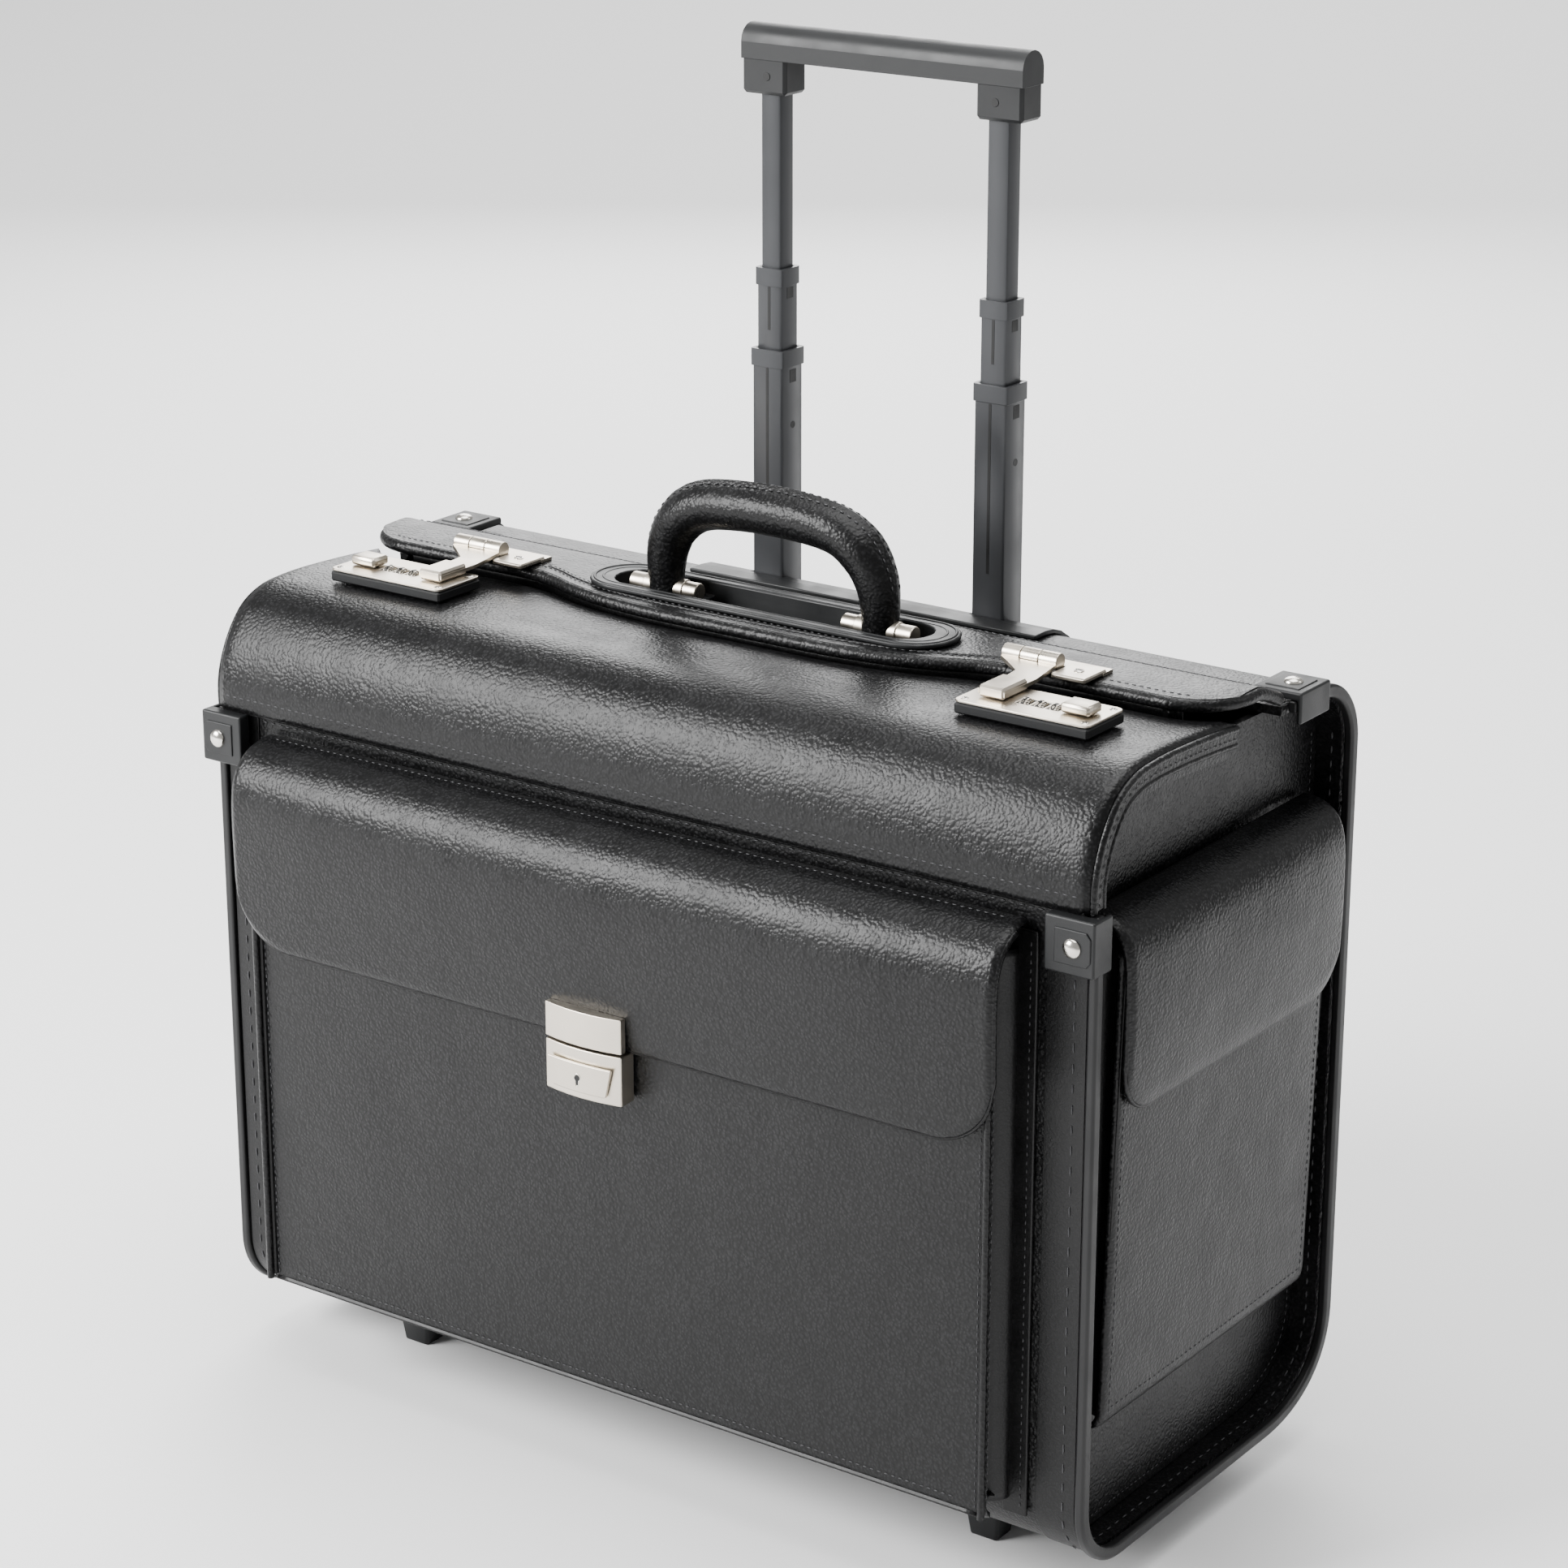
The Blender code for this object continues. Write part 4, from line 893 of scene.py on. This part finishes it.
archPoints = [(0.0575, 0.3760), (0.0577, 0.3805), (0.0580, 0.3880), (0.0568, 0.3980),
              (0.0528, 0.4075), (0.0455, 0.4155), (0.0350, 0.4205), (0.0180, 0.4228),
              (0.0, 0.4234)]
arch = smoothPath(archPoints + [(-x, z) for x, z in archPoints[-2::-1]],
                  handleLooks["stations"])


def handlePoint(i, angle, grow=0.0):
    h = handleLooks
    x, z = arch[i]
    a = Vector(arch[max(i - 1, 0)])
    c = Vector(arch[min(i + 1, len(arch) - 1)])
    t = (c - a).normalized()
    big = min(1.0, max(0.0, (z - 0.383) / 0.030))
    thick = h["thick"] + h["growThick"] * big
    deep = h["deep"] + h["growDeep"] * big
    # sewn ridge on the outside and seam on the inside of the curve
    ridge = h["ridge"] * sum(2.718 ** -(((angle - mid) / 0.16) ** 2) for mid in (0, 2 * pi))
    ridge += 0.6 * h["ridge"] * 2.718 ** -(((angle - pi) / 0.2) ** 2)
    # leather gathers in short creases where the bend is tight
    bend = (Vector(arch[max(i - 3, 0)]) - 2 * Vector((x, z))
            + Vector(arch[min(i + 3, len(arch) - 1)])).length
    crease = 0.5 * noise.noise(Vector((i * 0.42, 1.3 * cos(angle), 1.3 * sin(angle))))
    crease *= min(0.0011, bend * 0.9) * (0.4 + 0.6 * big)
    r = ridge * big - abs(crease) + grow
    return Vector((x + t[1] * (thick + r) * cos(angle), h["y"] + (deep + r) * sin(angle),
                   z - t[0] * (thick + r) * cos(angle)))


bm = drawnTube(handleLooks["stations"], handleLooks["segments"],
               lambda i, k: handlePoint(i, 2 * pi * k / handleLooks["segments"]))
handle = finishPiece("carry_handle.leather", bm, leather, "carry_handle", ("carry_handle",))
for k, angle in enumerate((0.30, 2 * pi - 0.30)):
    row = [handlePoint(i, angle, 0.0001) for i in range(12, handleLooks["stations"] - 12)]
    stitchRow("handle_stitch_%d" % (k + 1), row, lambda p: Vector((p.x * 0.6, 0, p.z - 0.392)),
              4.2, "carry_handle", 0.8)
for s, sign in sides:
    for part in ("pin", "collar"):
        start, end, radius = handleLooks[part]
        rod("handle_%s_%s" % (part, s), (sign * start, handleLooks["y"], handleLooks["pivotZ"]),
            (sign * end, handleLooks["y"], handleLooks["pivotZ"]), radius, satinNickel,
            "carry_handle", 24, 0.0005)
print("carry handle made")


# combination locks and hasps

lockLooks = {"x": 0.1700, "y": -0.0320, "dialRadius": 0.0037, "dialHalf": 0.0023,
             "notches": 20, "digitTall": 0.0046, "screwX": 0.0288, "screwY": 0.0112,
             "screwTurn": (35, 40)}
haspLooks = {"kneeX": {"r": 0.1405, "l": -0.1600}, "kneeY": 0.0105, "kneeZ": 0.3835,
             "kneeRadius": 0.0038, "screwY": 0.0090, "screwIn": 0.0084}
screwHead = [(-0.0008, 0.0018), (0.0001, 0.0018), (0.0003, 0.0015), (0.0004, 0.0008),
             (0.0004, 0.0)]
for s, sign in sides:
    cx = sign * lockLooks["x"]
    refined("lock_base_" + s, absPlastic, 0.0008, 2)
    refined("lock_plate_" + s, satinNickel, 0.0004, 2)
    refined("knob_" + s, satinNickel, 0.0009, 3)
    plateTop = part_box("lock_plate_" + s)[1].z
    # four countersunk screws in the plate's corners
    for i, (left, down) in enumerate(((-1, -1), (1, -1), (-1, 1), (1, 1))):
        x = cx + left * lockLooks["screwX"]
        y = lockLooks["y"] + down * lockLooks["screwY"]
        turned("lock_screw_%s%d" % (s, i + 1), screwHead, (x, y, plateTop - 0.0001), (0, 0, 1),
               polishedNickel, "front_lid", 20)
        # each screw stopped at its own angle
        first, step = lockLooks["screwTurn"]
        slotAngle = radians(first + step * i)
        # painted shade: each cross slot is two thin black blocks on the screw head, standing for
        # the shade in the cut
        for j in (0, 1):
            bm = block(-0.0012, 0.0012, -0.00022, 0.00022, 0, 0.0002)
            bmesh.ops.rotate(bm, verts=bm.verts, cent=(0, 0, 0),
                             matrix=Matrix.Rotation(slotAngle + j * pi / 2, 3, "Z"))
            bmesh.ops.translate(bm, verts=bm.verts, vec=(x, y, plateTop + 0.0002))
            finishPiece("lock_screw_slot_%s%d%d" % (s, i + 1, j + 1), bm, inkAndPaintedShade, "front_lid")
    for k in (1, 2, 3):
        name = "dial_%s%d" % (s, k)
        low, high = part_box(name)
        mid = (low + high) / 2
        # painted shade: a black floor in the window that the dial stands in
        bm = block(mid.x - 0.0030, mid.x + 0.0030, mid.y - 0.0040, mid.y + 0.0040,
                   plateTop - 0.0009, plateTop - 0.0003)
        finishPiece("dial_window_%s%d" % (s, k), bm, inkAndPaintedShade, "front_lid")
        half = lockLooks["dialHalf"]
        r = lockLooks["dialRadius"]
        # wheel with finger notches down one side and flats for its digits
        profile = [(-half, 0.0), (-half, r - 0.0005), (-half + 0.0004, r), (half - 0.0012, r),
                   (half - 0.0012, r - 0.0004), (half, r - 0.0004), (half, 0.0)]
        turned(name + ".wheel", profile, mid, (1, 0, 0), satinNickel, name, 40, (name,))
        # painted shade: the finger notches are thin black blocks in the wheel's edge, standing for
        # the shade in them
        notches = bmesh.new()
        for n in range(lockLooks["notches"]):
            bm = block(half - 0.0012, half + 0.00004, -0.0002, 0.0002, r - 0.0008, r - 0.0003)
            bmesh.ops.rotate(bm, verts=bm.verts, cent=(0, 0, 0),
                             matrix=Matrix.Rotation(2 * pi * n / lockLooks["notches"], 3, "X"))
            bmesh.ops.translate(bm, verts=bm.verts, vec=mid)
            joinInto(notches, bm)
        finishPiece(name + ".notch_shade", notches, inkAndPaintedShade, name)
        digits = bmesh.new()
        for n in range(10):
            text = bpy.data.curves.new("digit", "FONT")
            text.body = str((n + 3 * k) % 10)
            text.size = lockLooks["digitTall"]
            text.align_x = "CENTER"
            text.align_y = "CENTER"
            text.extrude = 0.00006
            temp = bpy.data.objects.new("digit", text)
            bpy.context.scene.collection.objects.link(temp)
            bpy.context.view_layer.update()
            made = bpy.data.meshes.new_from_object(
                temp.evaluated_get(bpy.context.evaluated_depsgraph_get()))
            bpy.data.objects.remove(temp)
            made.transform(Matrix.Translation(mid) @ Matrix.Rotation(2 * pi * n / 10, 4, "X")
                           @ Matrix.Translation((-0.0005, 0, r + 0.00002)))
            digits.from_mesh(made)
            bpy.data.meshes.remove(made)
        finishPiece(name + ".digits", digits, inkAndPaintedShade, name, closed=False, sharp=30)
    refined("hasp_" + s, satinNickel, 0.0005, 2, 30)
    refined("hasp_leaf_" + s, satinNickel, 0.0004, 2, 30)
    # hinge knuckles: two on the hasp and one on the leaf
    cx = haspLooks["kneeX"][s]
    y = haspLooks["kneeY"]
    z = haspLooks["kneeZ"]
    for k, (a, c, body) in enumerate(((-0.0136, -0.0047, "hasp_" + s),
                                      (-0.0044, 0.0044, "rear_lid"),
                                      (0.0047, 0.0136, "hasp_" + s))):
        rod("knuckle_%s%d" % (s, k + 1), (cx + a, y, z), (cx + c, y, z),
            haspLooks["kneeRadius"], satinNickel, body, 32, 0.0003)
    # screw through the leaf's pad
    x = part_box("hasp_leaf_" + s)[1].x - haspLooks["screwIn"]
    y = haspLooks["screwY"]
    turned("leaf_screw_" + s, [(-0.0003, 0.0022), (0.0002, 0.0022), (0.0005, 0.0017),
                               (0.0006, 0.0)],
           (x, y, 0.3818), (0, 0, 1), polishedNickel, "rear_lid", 24)
    # painted shade: the slot is a thin black block on the screw head, standing for the shade in
    # the cut
    bm = block(-0.0016, 0.0016, -0.0003, 0.0003, 0, 0.0003)
    bmesh.ops.translate(bm, verts=bm.verts, vec=(x, y, 0.38225))
    finishPiece("leaf_screw_slot_" + s, bm, inkAndPaintedShade, "rear_lid")
print("locks made")


# trolley

trolleyLooks = {"x": 0.0607, "y": 0.1070, "catchWide": 0.0048, "proud": 0.00012,
                "holeZ": 0.4370, "holeRadius": 0.0017, "grooveWide": 0.0014,
                "gripScrewZ": 0.5972, "gripScrewRadius": 0.0019}
for s, sign in sides:
    for stage in ("stage1_", "stage2_", "stage3_"):
        refined(stage + s, coatedTube, 0.0012, 3, 30)
    x = sign * trolleyLooks["x"]
    y = trolleyLooks["y"]
    proud = trolleyLooks["proud"]
    # catch plates on the tube's right face, and a hole left for the pin, drawn as a black disc of
    # painted shade
    wide = trolleyLooks["catchWide"]
    for name, body, half, z, tall in (("catch1_", "trolley_lower", 0.0086, 0.4600, 0.0060),
                                      ("catch2_", "trolley_middle", 0.0070, 0.4985, 0.0050)):
        bm = block(x + half - 0.0004, x + half + proud, y - wide / 2, y + wide / 2,
                   z - tall / 2, z + tall / 2)
        finishPiece(name + s, bm, inkAndPaintedShade, body)
    rod("catch_hole_" + s, (x + 0.0082, y, trolleyLooks["holeZ"]),
        (x + 0.00868, y, trolleyLooks["holeZ"]), trolleyLooks["holeRadius"], inkAndPaintedShade,
        "trolley_lower", 24)
    # drawn groove on the front face of each outer tube, a black strip of painted shade
    wide = trolleyLooks["grooveWide"]
    for name, body, half, z0, z1 in (("groove1_", "trolley_lower", 0.0082, 0.386, 0.4640),
                                     ("groove2_", "trolley_middle", 0.0067, 0.4815, 0.5015)):
        bm = block(x - wide / 2, x + wide / 2, y - half - proud, y - half + 0.0004, z0, z1)
        finishPiece(name + s, bm, inkAndPaintedShade, body)

# grip: one moulding, softly rounded, with a boss over each tube
refined("grip", gripPlastic, 0.0026, 4, 30)
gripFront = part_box("grip")[0].y
for s, sign in sides:
    x = sign * trolleyLooks["x"]
    z = trolleyLooks["gripScrewZ"]
    rod("grip_screw_" + s, (x, gripFront - 0.0001, z), (x, gripFront + 0.0012, z),
        trolleyLooks["gripScrewRadius"], inkAndPaintedShade, "trolley_upper", 24, 0.0002)
refined("trolley_bezel", absPlastic, 0.0007, 2, name="trolley_bezel.moulded")
print("trolley made")


# front pocket

pocket = {"halfWidth": 0.1990, "y": -0.1116, "z0": 0.0458, "z1": 0.2970, "crown": 0.0022,
          "wall": 0.0024, "foldWall": 0.0012}


def pocketPanel(u, v):
    # soft front panel: fuller in the middle, pulled in along its seams, rolled over at the edges
    x = pocket["halfWidth"] * (2 * u - 1)
    z = pocket["z0"] + (pocket["z1"] - pocket["z0"]) * v
    edgeX = 1 - abs(2 * u - 1)
    full = (1 - abs(2 * u - 1) ** 4) * (1 - abs(2 * v - 1) ** 4)
    seam = min(1.0, edgeX * pocket["halfWidth"] / 0.004)
    low = min(1.0, v * (pocket["z1"] - pocket["z0"]) / 0.006)
    roll = 0.0020 * (1 - sqrt(max(0.0, 1 - (1 - seam) ** 2)))
    roll += 0.0030 * (1 - sqrt(max(0.0, 1 - (1 - low) ** 2)))
    puff = pocket["crown"] * (full - 0.8)
    puff += 0.0009 * full * noise.noise(Vector((x * 7, z * 9, 0.7)))
    puff += 0.0004 * noise.noise(Vector((x * 30, z * 30, 3.1))) * full
    return Vector((x, pocket["y"] + 0.0012 - max(-0.0016, puff) + roll, z))


bm = surface(150, 90, pocketPanel, (0, -0.02, 0.17))
panel = finishPiece("pocket_front.leather", bm, leather, "case", ("pocket_front",), closed=False)
addWall(panel, pocket["wall"])
for s, sign in sides:
    # the sides fold in as one pleat between the panel and the case
    fold = [(-0.1085, 0.1985), (-0.1068, 0.1965), (-0.1040, 0.1935), (-0.1010, 0.1925),
            (-0.0985, 0.1932), (-0.0965, 0.1955), (-0.0940, 0.1975), (-0.0915, 0.1988),
            (-0.0888, 0.1990)]
    fold = smoothPath(fold, 40)

    def gusset(u, v):
        y, x = along(fold, u)
        z = pocket["z0"] + 0.0035 + (pocket["z1"] - pocket["z0"] - 0.0035) * v
        x -= 0.0012 * noise.noise(Vector((y * 60, z * 12, sign))) * sin(pi * u)
        return Vector((sign * x, y, z))
    side = finishPiece("pocket_gusset_" + s, surface(40, 70, gusset, (0, -0.1, 0.17)), binding,
                       "case", closed=False)
    addWall(side, pocket["foldWall"])
    # piped front edges with their stitches
    tall = pocket["z1"] - pocket["z0"] - 0.002
    edge = [(sign * 0.1986, -0.1106, pocket["z0"] + 0.002 + tall * k / 60) for k in range(61)]
    piping("pocket_edge_" + s, edge, 0.0016, leather, "case")
    row = [tuple(pocketPanel(0.5 + sign * 0.4885, k / 60)) for k in range(1, 60)]
    stitchRow("pocket_stitch_" + s, row, (0, -1, 0), 3.6, "case", lift=0.00015)
    row = [(sign * 0.1994, -0.1072, z) for _, _, z in edge]
    stitchRow("pocket_side_stitch_" + s, row, (sign, 0, 0), 3.8, "case", 0.65, lift=-0.0002)
    # flange that sews the gusset to the case
    bm = block(sign * 0.1960, sign * 0.2078, -0.0899, -0.0881, pocket["z0"] - 0.0035, 0.3055)
    addBevel(finishPiece("pocket_flange_" + s, bm, binding, "case"), 0.0007, 3)
    row = [(sign * 0.2048, -0.0900, pocket["z0"] + 0.256 * k / 60) for k in range(61)]
    stitchRow("pocket_flange_stitch_" + s, row, (0, -1, 0), 3.8, "case", 0.65, lift=0.0001)
fold = smoothPath([(-0.1085, 0.0470), (-0.1060, 0.0500), (-0.1010, 0.0530), (-0.0960, 0.0510),
                   (-0.0925, 0.0480), (-0.0888, 0.0470)], 30)


def underside(u, v):
    y, z = along(fold, v)
    return Vector((0.1960 * (2 * u - 1), y, z))


bottom = finishPiece("pocket_bottom", surface(60, 30, underside, (0, -0.1, 0.2)), binding, "case",
                     closed=False)
addWall(bottom, pocket["foldWall"])
row = [tuple(pocketPanel(k / 80, 0.030)) for k in range(3, 78)]
stitchRow("pocket_bottom_stitch", row, (0, -1, 0), 3.6, "case", lift=0.00015)
row = [tuple(pocketPanel(k / 80, 0.975)) for k in range(3, 78)]
stitchRow("pocket_top_stitch", row, (0, -1, 0), 3.6, "case", lift=0.00015)


# flaps

def flapMaker(profile, corner, half, puff, seed):
    # place(u, v) on a flap that drops over a pocket, with round lower corners
    line = smoothPath(profile, 61)
    r = corner
    zEnd = line[-1][1]

    def place(u, v, sunk=0.0, inset=0.0):
        w = 2 * u - 1
        reach = half - inset
        x = reach * w
        over = abs(x) - (half - r)
        end = zEnd + inset
        if over > 0:
            rr = r - inset
            end += rr - sqrt(max(0.0, rr * rr - min(over, rr) ** 2))
        # the profile is followed down to the rounded lower edge
        k = 60
        while k > 1 and line[k - 1][1] < end:
            k -= 1
        f = (line[k - 1][1] - end) / max(1e-9, line[k - 1][1] - line[k][1])
        stop = (k - 1 + min(1.0, max(0.0, f))) / 60
        o, z = along(line, v * stop)
        i = min(int(v * stop * 60), 59)
        t = (Vector(line[i + 1]) - Vector(line[i])).normalized()
        n = Vector((-t[1], t[0]))
        full = (1 - abs(w) ** 4) * sin(pi * min(1.0, v * 0.97 + 0.02)) ** (1.0 if v > 0.5 else 2.4)
        lift = puff * full
        lift += 0.0007 * full * noise.noise(Vector((x * 12, z * 14, seed)))
        lift += 0.0003 * full * noise.noise(Vector((x * 40, z * 40, seed + 5)))
        edgeDrop = max(0.0, 1 - min(1 - abs(w), (1 - v) * 0.35) * half / 0.0030)
        lift -= 0.0012 * edgeDrop ** 2
        return x, o + n[0] * (lift - sunk), z + n[1] * (lift - sunk)
    return place


def flapEdge(place, inset, sunk, steps=70):
    # down one side, along the bottom and up the other
    line = [place(0.0, 0.12 + 0.88 * k / steps, sunk, inset) for k in range(steps)]
    line += [place(k / (2 * steps), 1.0, sunk, inset) for k in range(2 * steps + 1)]
    line += [place(1.0, 1 - 0.88 * k / steps, sunk, inset) for k in range(1, steps + 1)]
    return line


frontFlap = flapMaker(
    [(0.0912, 0.3112), (0.0970, 0.3106), (0.1030, 0.3090), (0.1090, 0.3055), (0.1140, 0.2995),
     (0.1170, 0.2915), (0.1180, 0.2800), (0.1178, 0.2600), (0.1172, 0.2380), (0.1165, 0.2172)],
    0.030, 0.2038, 0.0026, 1.0)


def eased(u):
    # finer columns near both ends
    return 0.5 + 0.5 * sin(pi / 2 * (2 * u - 1))


def frontFlapPlace(u, v):
    x, o, z = frontFlap(eased(u), v)
    return Vector((x, -o, z))


bm = surface(180, 80, frontFlapPlace, (0, 0, 0.24))
flap = finishPiece("pocket_flap.leather", bm, leather, "pocket_flap", ("pocket_flap",),
                   closed=False)
addWall(flap, 0.0026)
edge = [(x, -o, z) for x, o, z in flapEdge(frontFlap, 0.0004, 0.0014)]
piping("pocket_flap_edge", edge, 0.0015, leather, "pocket_flap")
row = [(x, -o, z) for x, o, z in flapEdge(frontFlap, 0.0050, 0.0)]
stitchRow("pocket_flap_stitch", row, (0, -1, 0), 3.8, "pocket_flap", 0.8)
row = [(x / 1000, -0.0952, 0.3108) for x in range(-196, 197, 4)]
stitchRow("pocket_flap_top_stitch", row, (0, -0.3, 1), 3.8, "pocket_flap", lift=0.0004)

sidePocketLooks = {"y": (-0.0715, 0.1040), "z": (0.0815, 0.2960), "wall": 0.0022,
                   "gussetWall": 0.0010, "flapY": (-0.0745, 0.1067), "flapWall": 0.0024}
for s, sign in sides:
    back, ahead = sidePocketLooks["flapY"]
    mid = (back + ahead) / 2
    sideFlap = flapMaker(
        [(0.2217, 0.3130), (0.2270, 0.3127), (0.2330, 0.3108), (0.2385, 0.3065),
         (0.2418, 0.2990), (0.2430, 0.2880), (0.2432, 0.2650), (0.2426, 0.2440),
         (0.2414, 0.2262)],
        0.022, (ahead - back) / 2 - 0.0006, 0.0020, 3.0 + sign)

    def sideFlapPlace(u, v):
        y, o, z = sideFlap(eased(u), v)
        return Vector((sign * o, mid + y, z))
    bm = surface(110, 70, sideFlapPlace, (0, mid, 0.24))
    piece = finishPiece("side_flap_%s.leather" % s, bm, leather, "side_flap_" + s,
                        ("side_flap_" + s,), closed=False)
    addWall(piece, sidePocketLooks["flapWall"])
    edge = [(sign * o, mid + y, z) for y, o, z in flapEdge(sideFlap, 0.0004, 0.0013)]
    piping("side_flap_edge_" + s, edge, 0.0014, leather, "side_flap_" + s)
    row = [(sign * o, mid + y, z) for y, o, z in flapEdge(sideFlap, 0.0048, 0.0)]
    stitchRow("side_flap_stitch_" + s, row, (sign, 0, 0), 3.8, "side_flap_" + s, 0.75)

    # flat pouch under the flap
    y0, y1 = sidePocketLooks["y"]
    z0, z1 = sidePocketLooks["z"]

    def pouch(u, v):
        y = y0 + (y1 - y0) * u
        z = z0 + (z1 - z0) * v
        full = (1 - abs(2 * u - 1) ** 4) * (1 - abs(2 * v - 1) ** 6)
        edgeY = min(1.0, min(u, 1 - u) * (y1 - y0) / 0.0035)
        low = min(1.0, v * (z1 - z0) / 0.010)
        x = 0.2336 + 0.0046 * v + 0.0012 * (full - 0.9)
        x -= 0.0022 * (1 - sqrt(max(0.0, 1 - (1 - edgeY) ** 2)))
        x -= 0.0050 * (1 - sqrt(max(0.0, 1 - (1 - low) ** 2)))
        x += 0.0007 * full * noise.noise(Vector((y * 9, z * 8, sign)))
        return Vector((sign * min(x, 0.2386), y, z))
    bm = surface(90, 90, pouch, (0, 0.016, 0.19))
    piece = finishPiece("side_pocket_%s.leather" % s, bm, leather, "case", ("side_pocket_" + s,),
                        closed=False)
    addWall(piece, sidePocketLooks["wall"])
    for name, u, ye in (("front", 0.030, y0), ("back", 0.970, y1)):
        row = [tuple(pouch(u, k / 60)) for k in range(2, 59)]
        stitchRow("side_pocket_stitch_%s_%s" % (s, name), row, (sign, 0, 0), 3.8, "case", 0.65,
                  lift=0.0001)
        inward = 1 if name == "front" else -1
        fold = smoothPath([(0.2375, 0.0004), (0.2350, 0.0022), (0.2310, 0.0045),
                           (0.2270, 0.0050), (0.2235, 0.0030), (0.2205, 0.0006),
                           (0.2190, 0.0002)], 24)

        def pouchSide(a, v):
            x, d = along(fold, a)
            z = z0 + 0.004 + (z1 - z0 - 0.004) * v
            squeeze = 0.62 + 0.38 * v
            return Vector((sign * (0.2190 + (x - 0.2190) * squeeze), ye + inward * (d + 0.0006),
                           z))
        side = finishPiece("side_pocket_gusset_%s_%s" % (s, name),
                           surface(24, 50, pouchSide, (sign * 0.228, 0.016, 0.19)), binding,
                           "case", closed=False)
        addWall(side, sidePocketLooks["gussetWall"])
    row = [tuple(pouch(k / 60, 0.045)) for k in range(2, 59)]
    stitchRow("side_pocket_stitch_%s_low" % s, row, (sign, 0, 0), 3.8, "case", 0.65, lift=0.0001)
    # top hem
    hem = [tuple(pouch(k / 50, 1.0) - Vector((sign * 0.0012, 0, 0))) for k in range(51)]
    piping("side_pocket_hem_" + s, hem, 0.0013, leather, "case")
print("pockets made")

refined("flap_plate", satinNickel, 0.0005, 2, 30)
refined("lock_body", satinNickel, 0.0007, 2, 30)
refined("lock_slider", satinNickel, 0.0005, 2, 30)
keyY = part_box("lock_slider")[0].y
# painted shade: the keyhole is a black plug standing for the shade inside it
hole = [(0.0014 * cos(radians(a)), 0.2038 + 0.0014 * sin(radians(a)))
        for a in range(-60, 241, 15)]
hole += [(-0.0005, 0.2005), (0.0005, 0.2005)]
bm = extruded(hole, keyY - 0.00008, keyY + 0.0006, "Y")
finishPiece("keyhole", bm, inkAndPaintedShade, "lock_slider")
rim = [(x * 1.28, keyY + 0.00005, 0.2027 + (z - 0.2027) * 1.2) for x, z in hole]
piping("keyhole_rim", rim, 0.00022, polishedNickel, "lock_slider", closed=True)
print("pocket lock made")


# floor, camera and light

floorLooks = {"half": 18.0, "colour": "fafafa", "roughness": 0.7}
bm = bmesh.new()
bmesh.ops.create_grid(bm, x_segments=4, y_segments=4, size=floorLooks["half"])
mesh = bpy.data.meshes.new("floor")
bm.to_mesh(mesh)
bm.free()
floor = bpy.data.objects.new("floor", mesh)
bpy.context.scene.collection.objects.link(floor)
# matt white floor paint
floorMat = newMaterial("paintedFloor", floorLooks["colour"], floorLooks["roughness"])[0]
mesh.materials.append(floorMat)

view = {"place": (1.000, -1.3765, 0.884), "target": (-0.004, 0.0325, 0.292), "lens": 92.85}
camera = bpy.data.objects.new("camera", bpy.data.cameras.new("camera"))
bpy.context.scene.collection.objects.link(camera)
camera.location = view["place"]
aim = Vector(view["target"]) - camera.location
camera.rotation_euler = aim.to_track_quat("-Z", "Y").to_euler()
camera.data.sensor_width = 36
camera.data.lens = view["lens"]
camera.data.clip_start = 0.05
bpy.context.scene.camera = camera

roomLight = {"colour": "ffffff", "strength": 0.45}
world = bpy.data.worlds.new("studio")
world.use_nodes = True
backdrop = world.node_tree.nodes["Background"]
backdrop.inputs["Color"].default_value = hexColour(roomLight["colour"])
backdrop.inputs["Strength"].default_value = roomLight["strength"]
bpy.context.scene.world = world

lights = {
    "keySoftbox": {"place": (-1.5, -1.9, 1.55), "target": (0, 0, 0.3), "size": 1.5, "power": 190},
    "topSoftbox": {"place": (0.1, 0.2, 2.7), "target": (0, 0.0, 0.2), "size": 2.0, "power": 75},
    "backSoftbox": {"place": (-1.5, 2.1, 1.2), "target": (0, 0, 0.36), "size": 1.4, "power": 36},
    "rightSoftbox": {"place": (2.3, 1.4, 1.9), "target": (0, 0, 0.25), "size": 1.0, "power": 12},
    "farSoftbox": {"place": (-2.2, 4.2, 3.4), "target": (-2.2, 4.2, 0), "size": 3.5, "power": 190},
}
for name, settings in lights.items():
    data = bpy.data.lights.new(name, "AREA")
    data.shape = "SQUARE"
    data.size = settings["size"]
    data.energy = settings["power"]
    lamp = bpy.data.objects.new(name, data)
    bpy.context.scene.collection.objects.link(lamp)
    lamp.location = settings["place"]
    lamp.rotation_euler = (Vector(settings["target"])
                           - lamp.location).to_track_quat("-Z", "Y").to_euler()
print("stage ready")
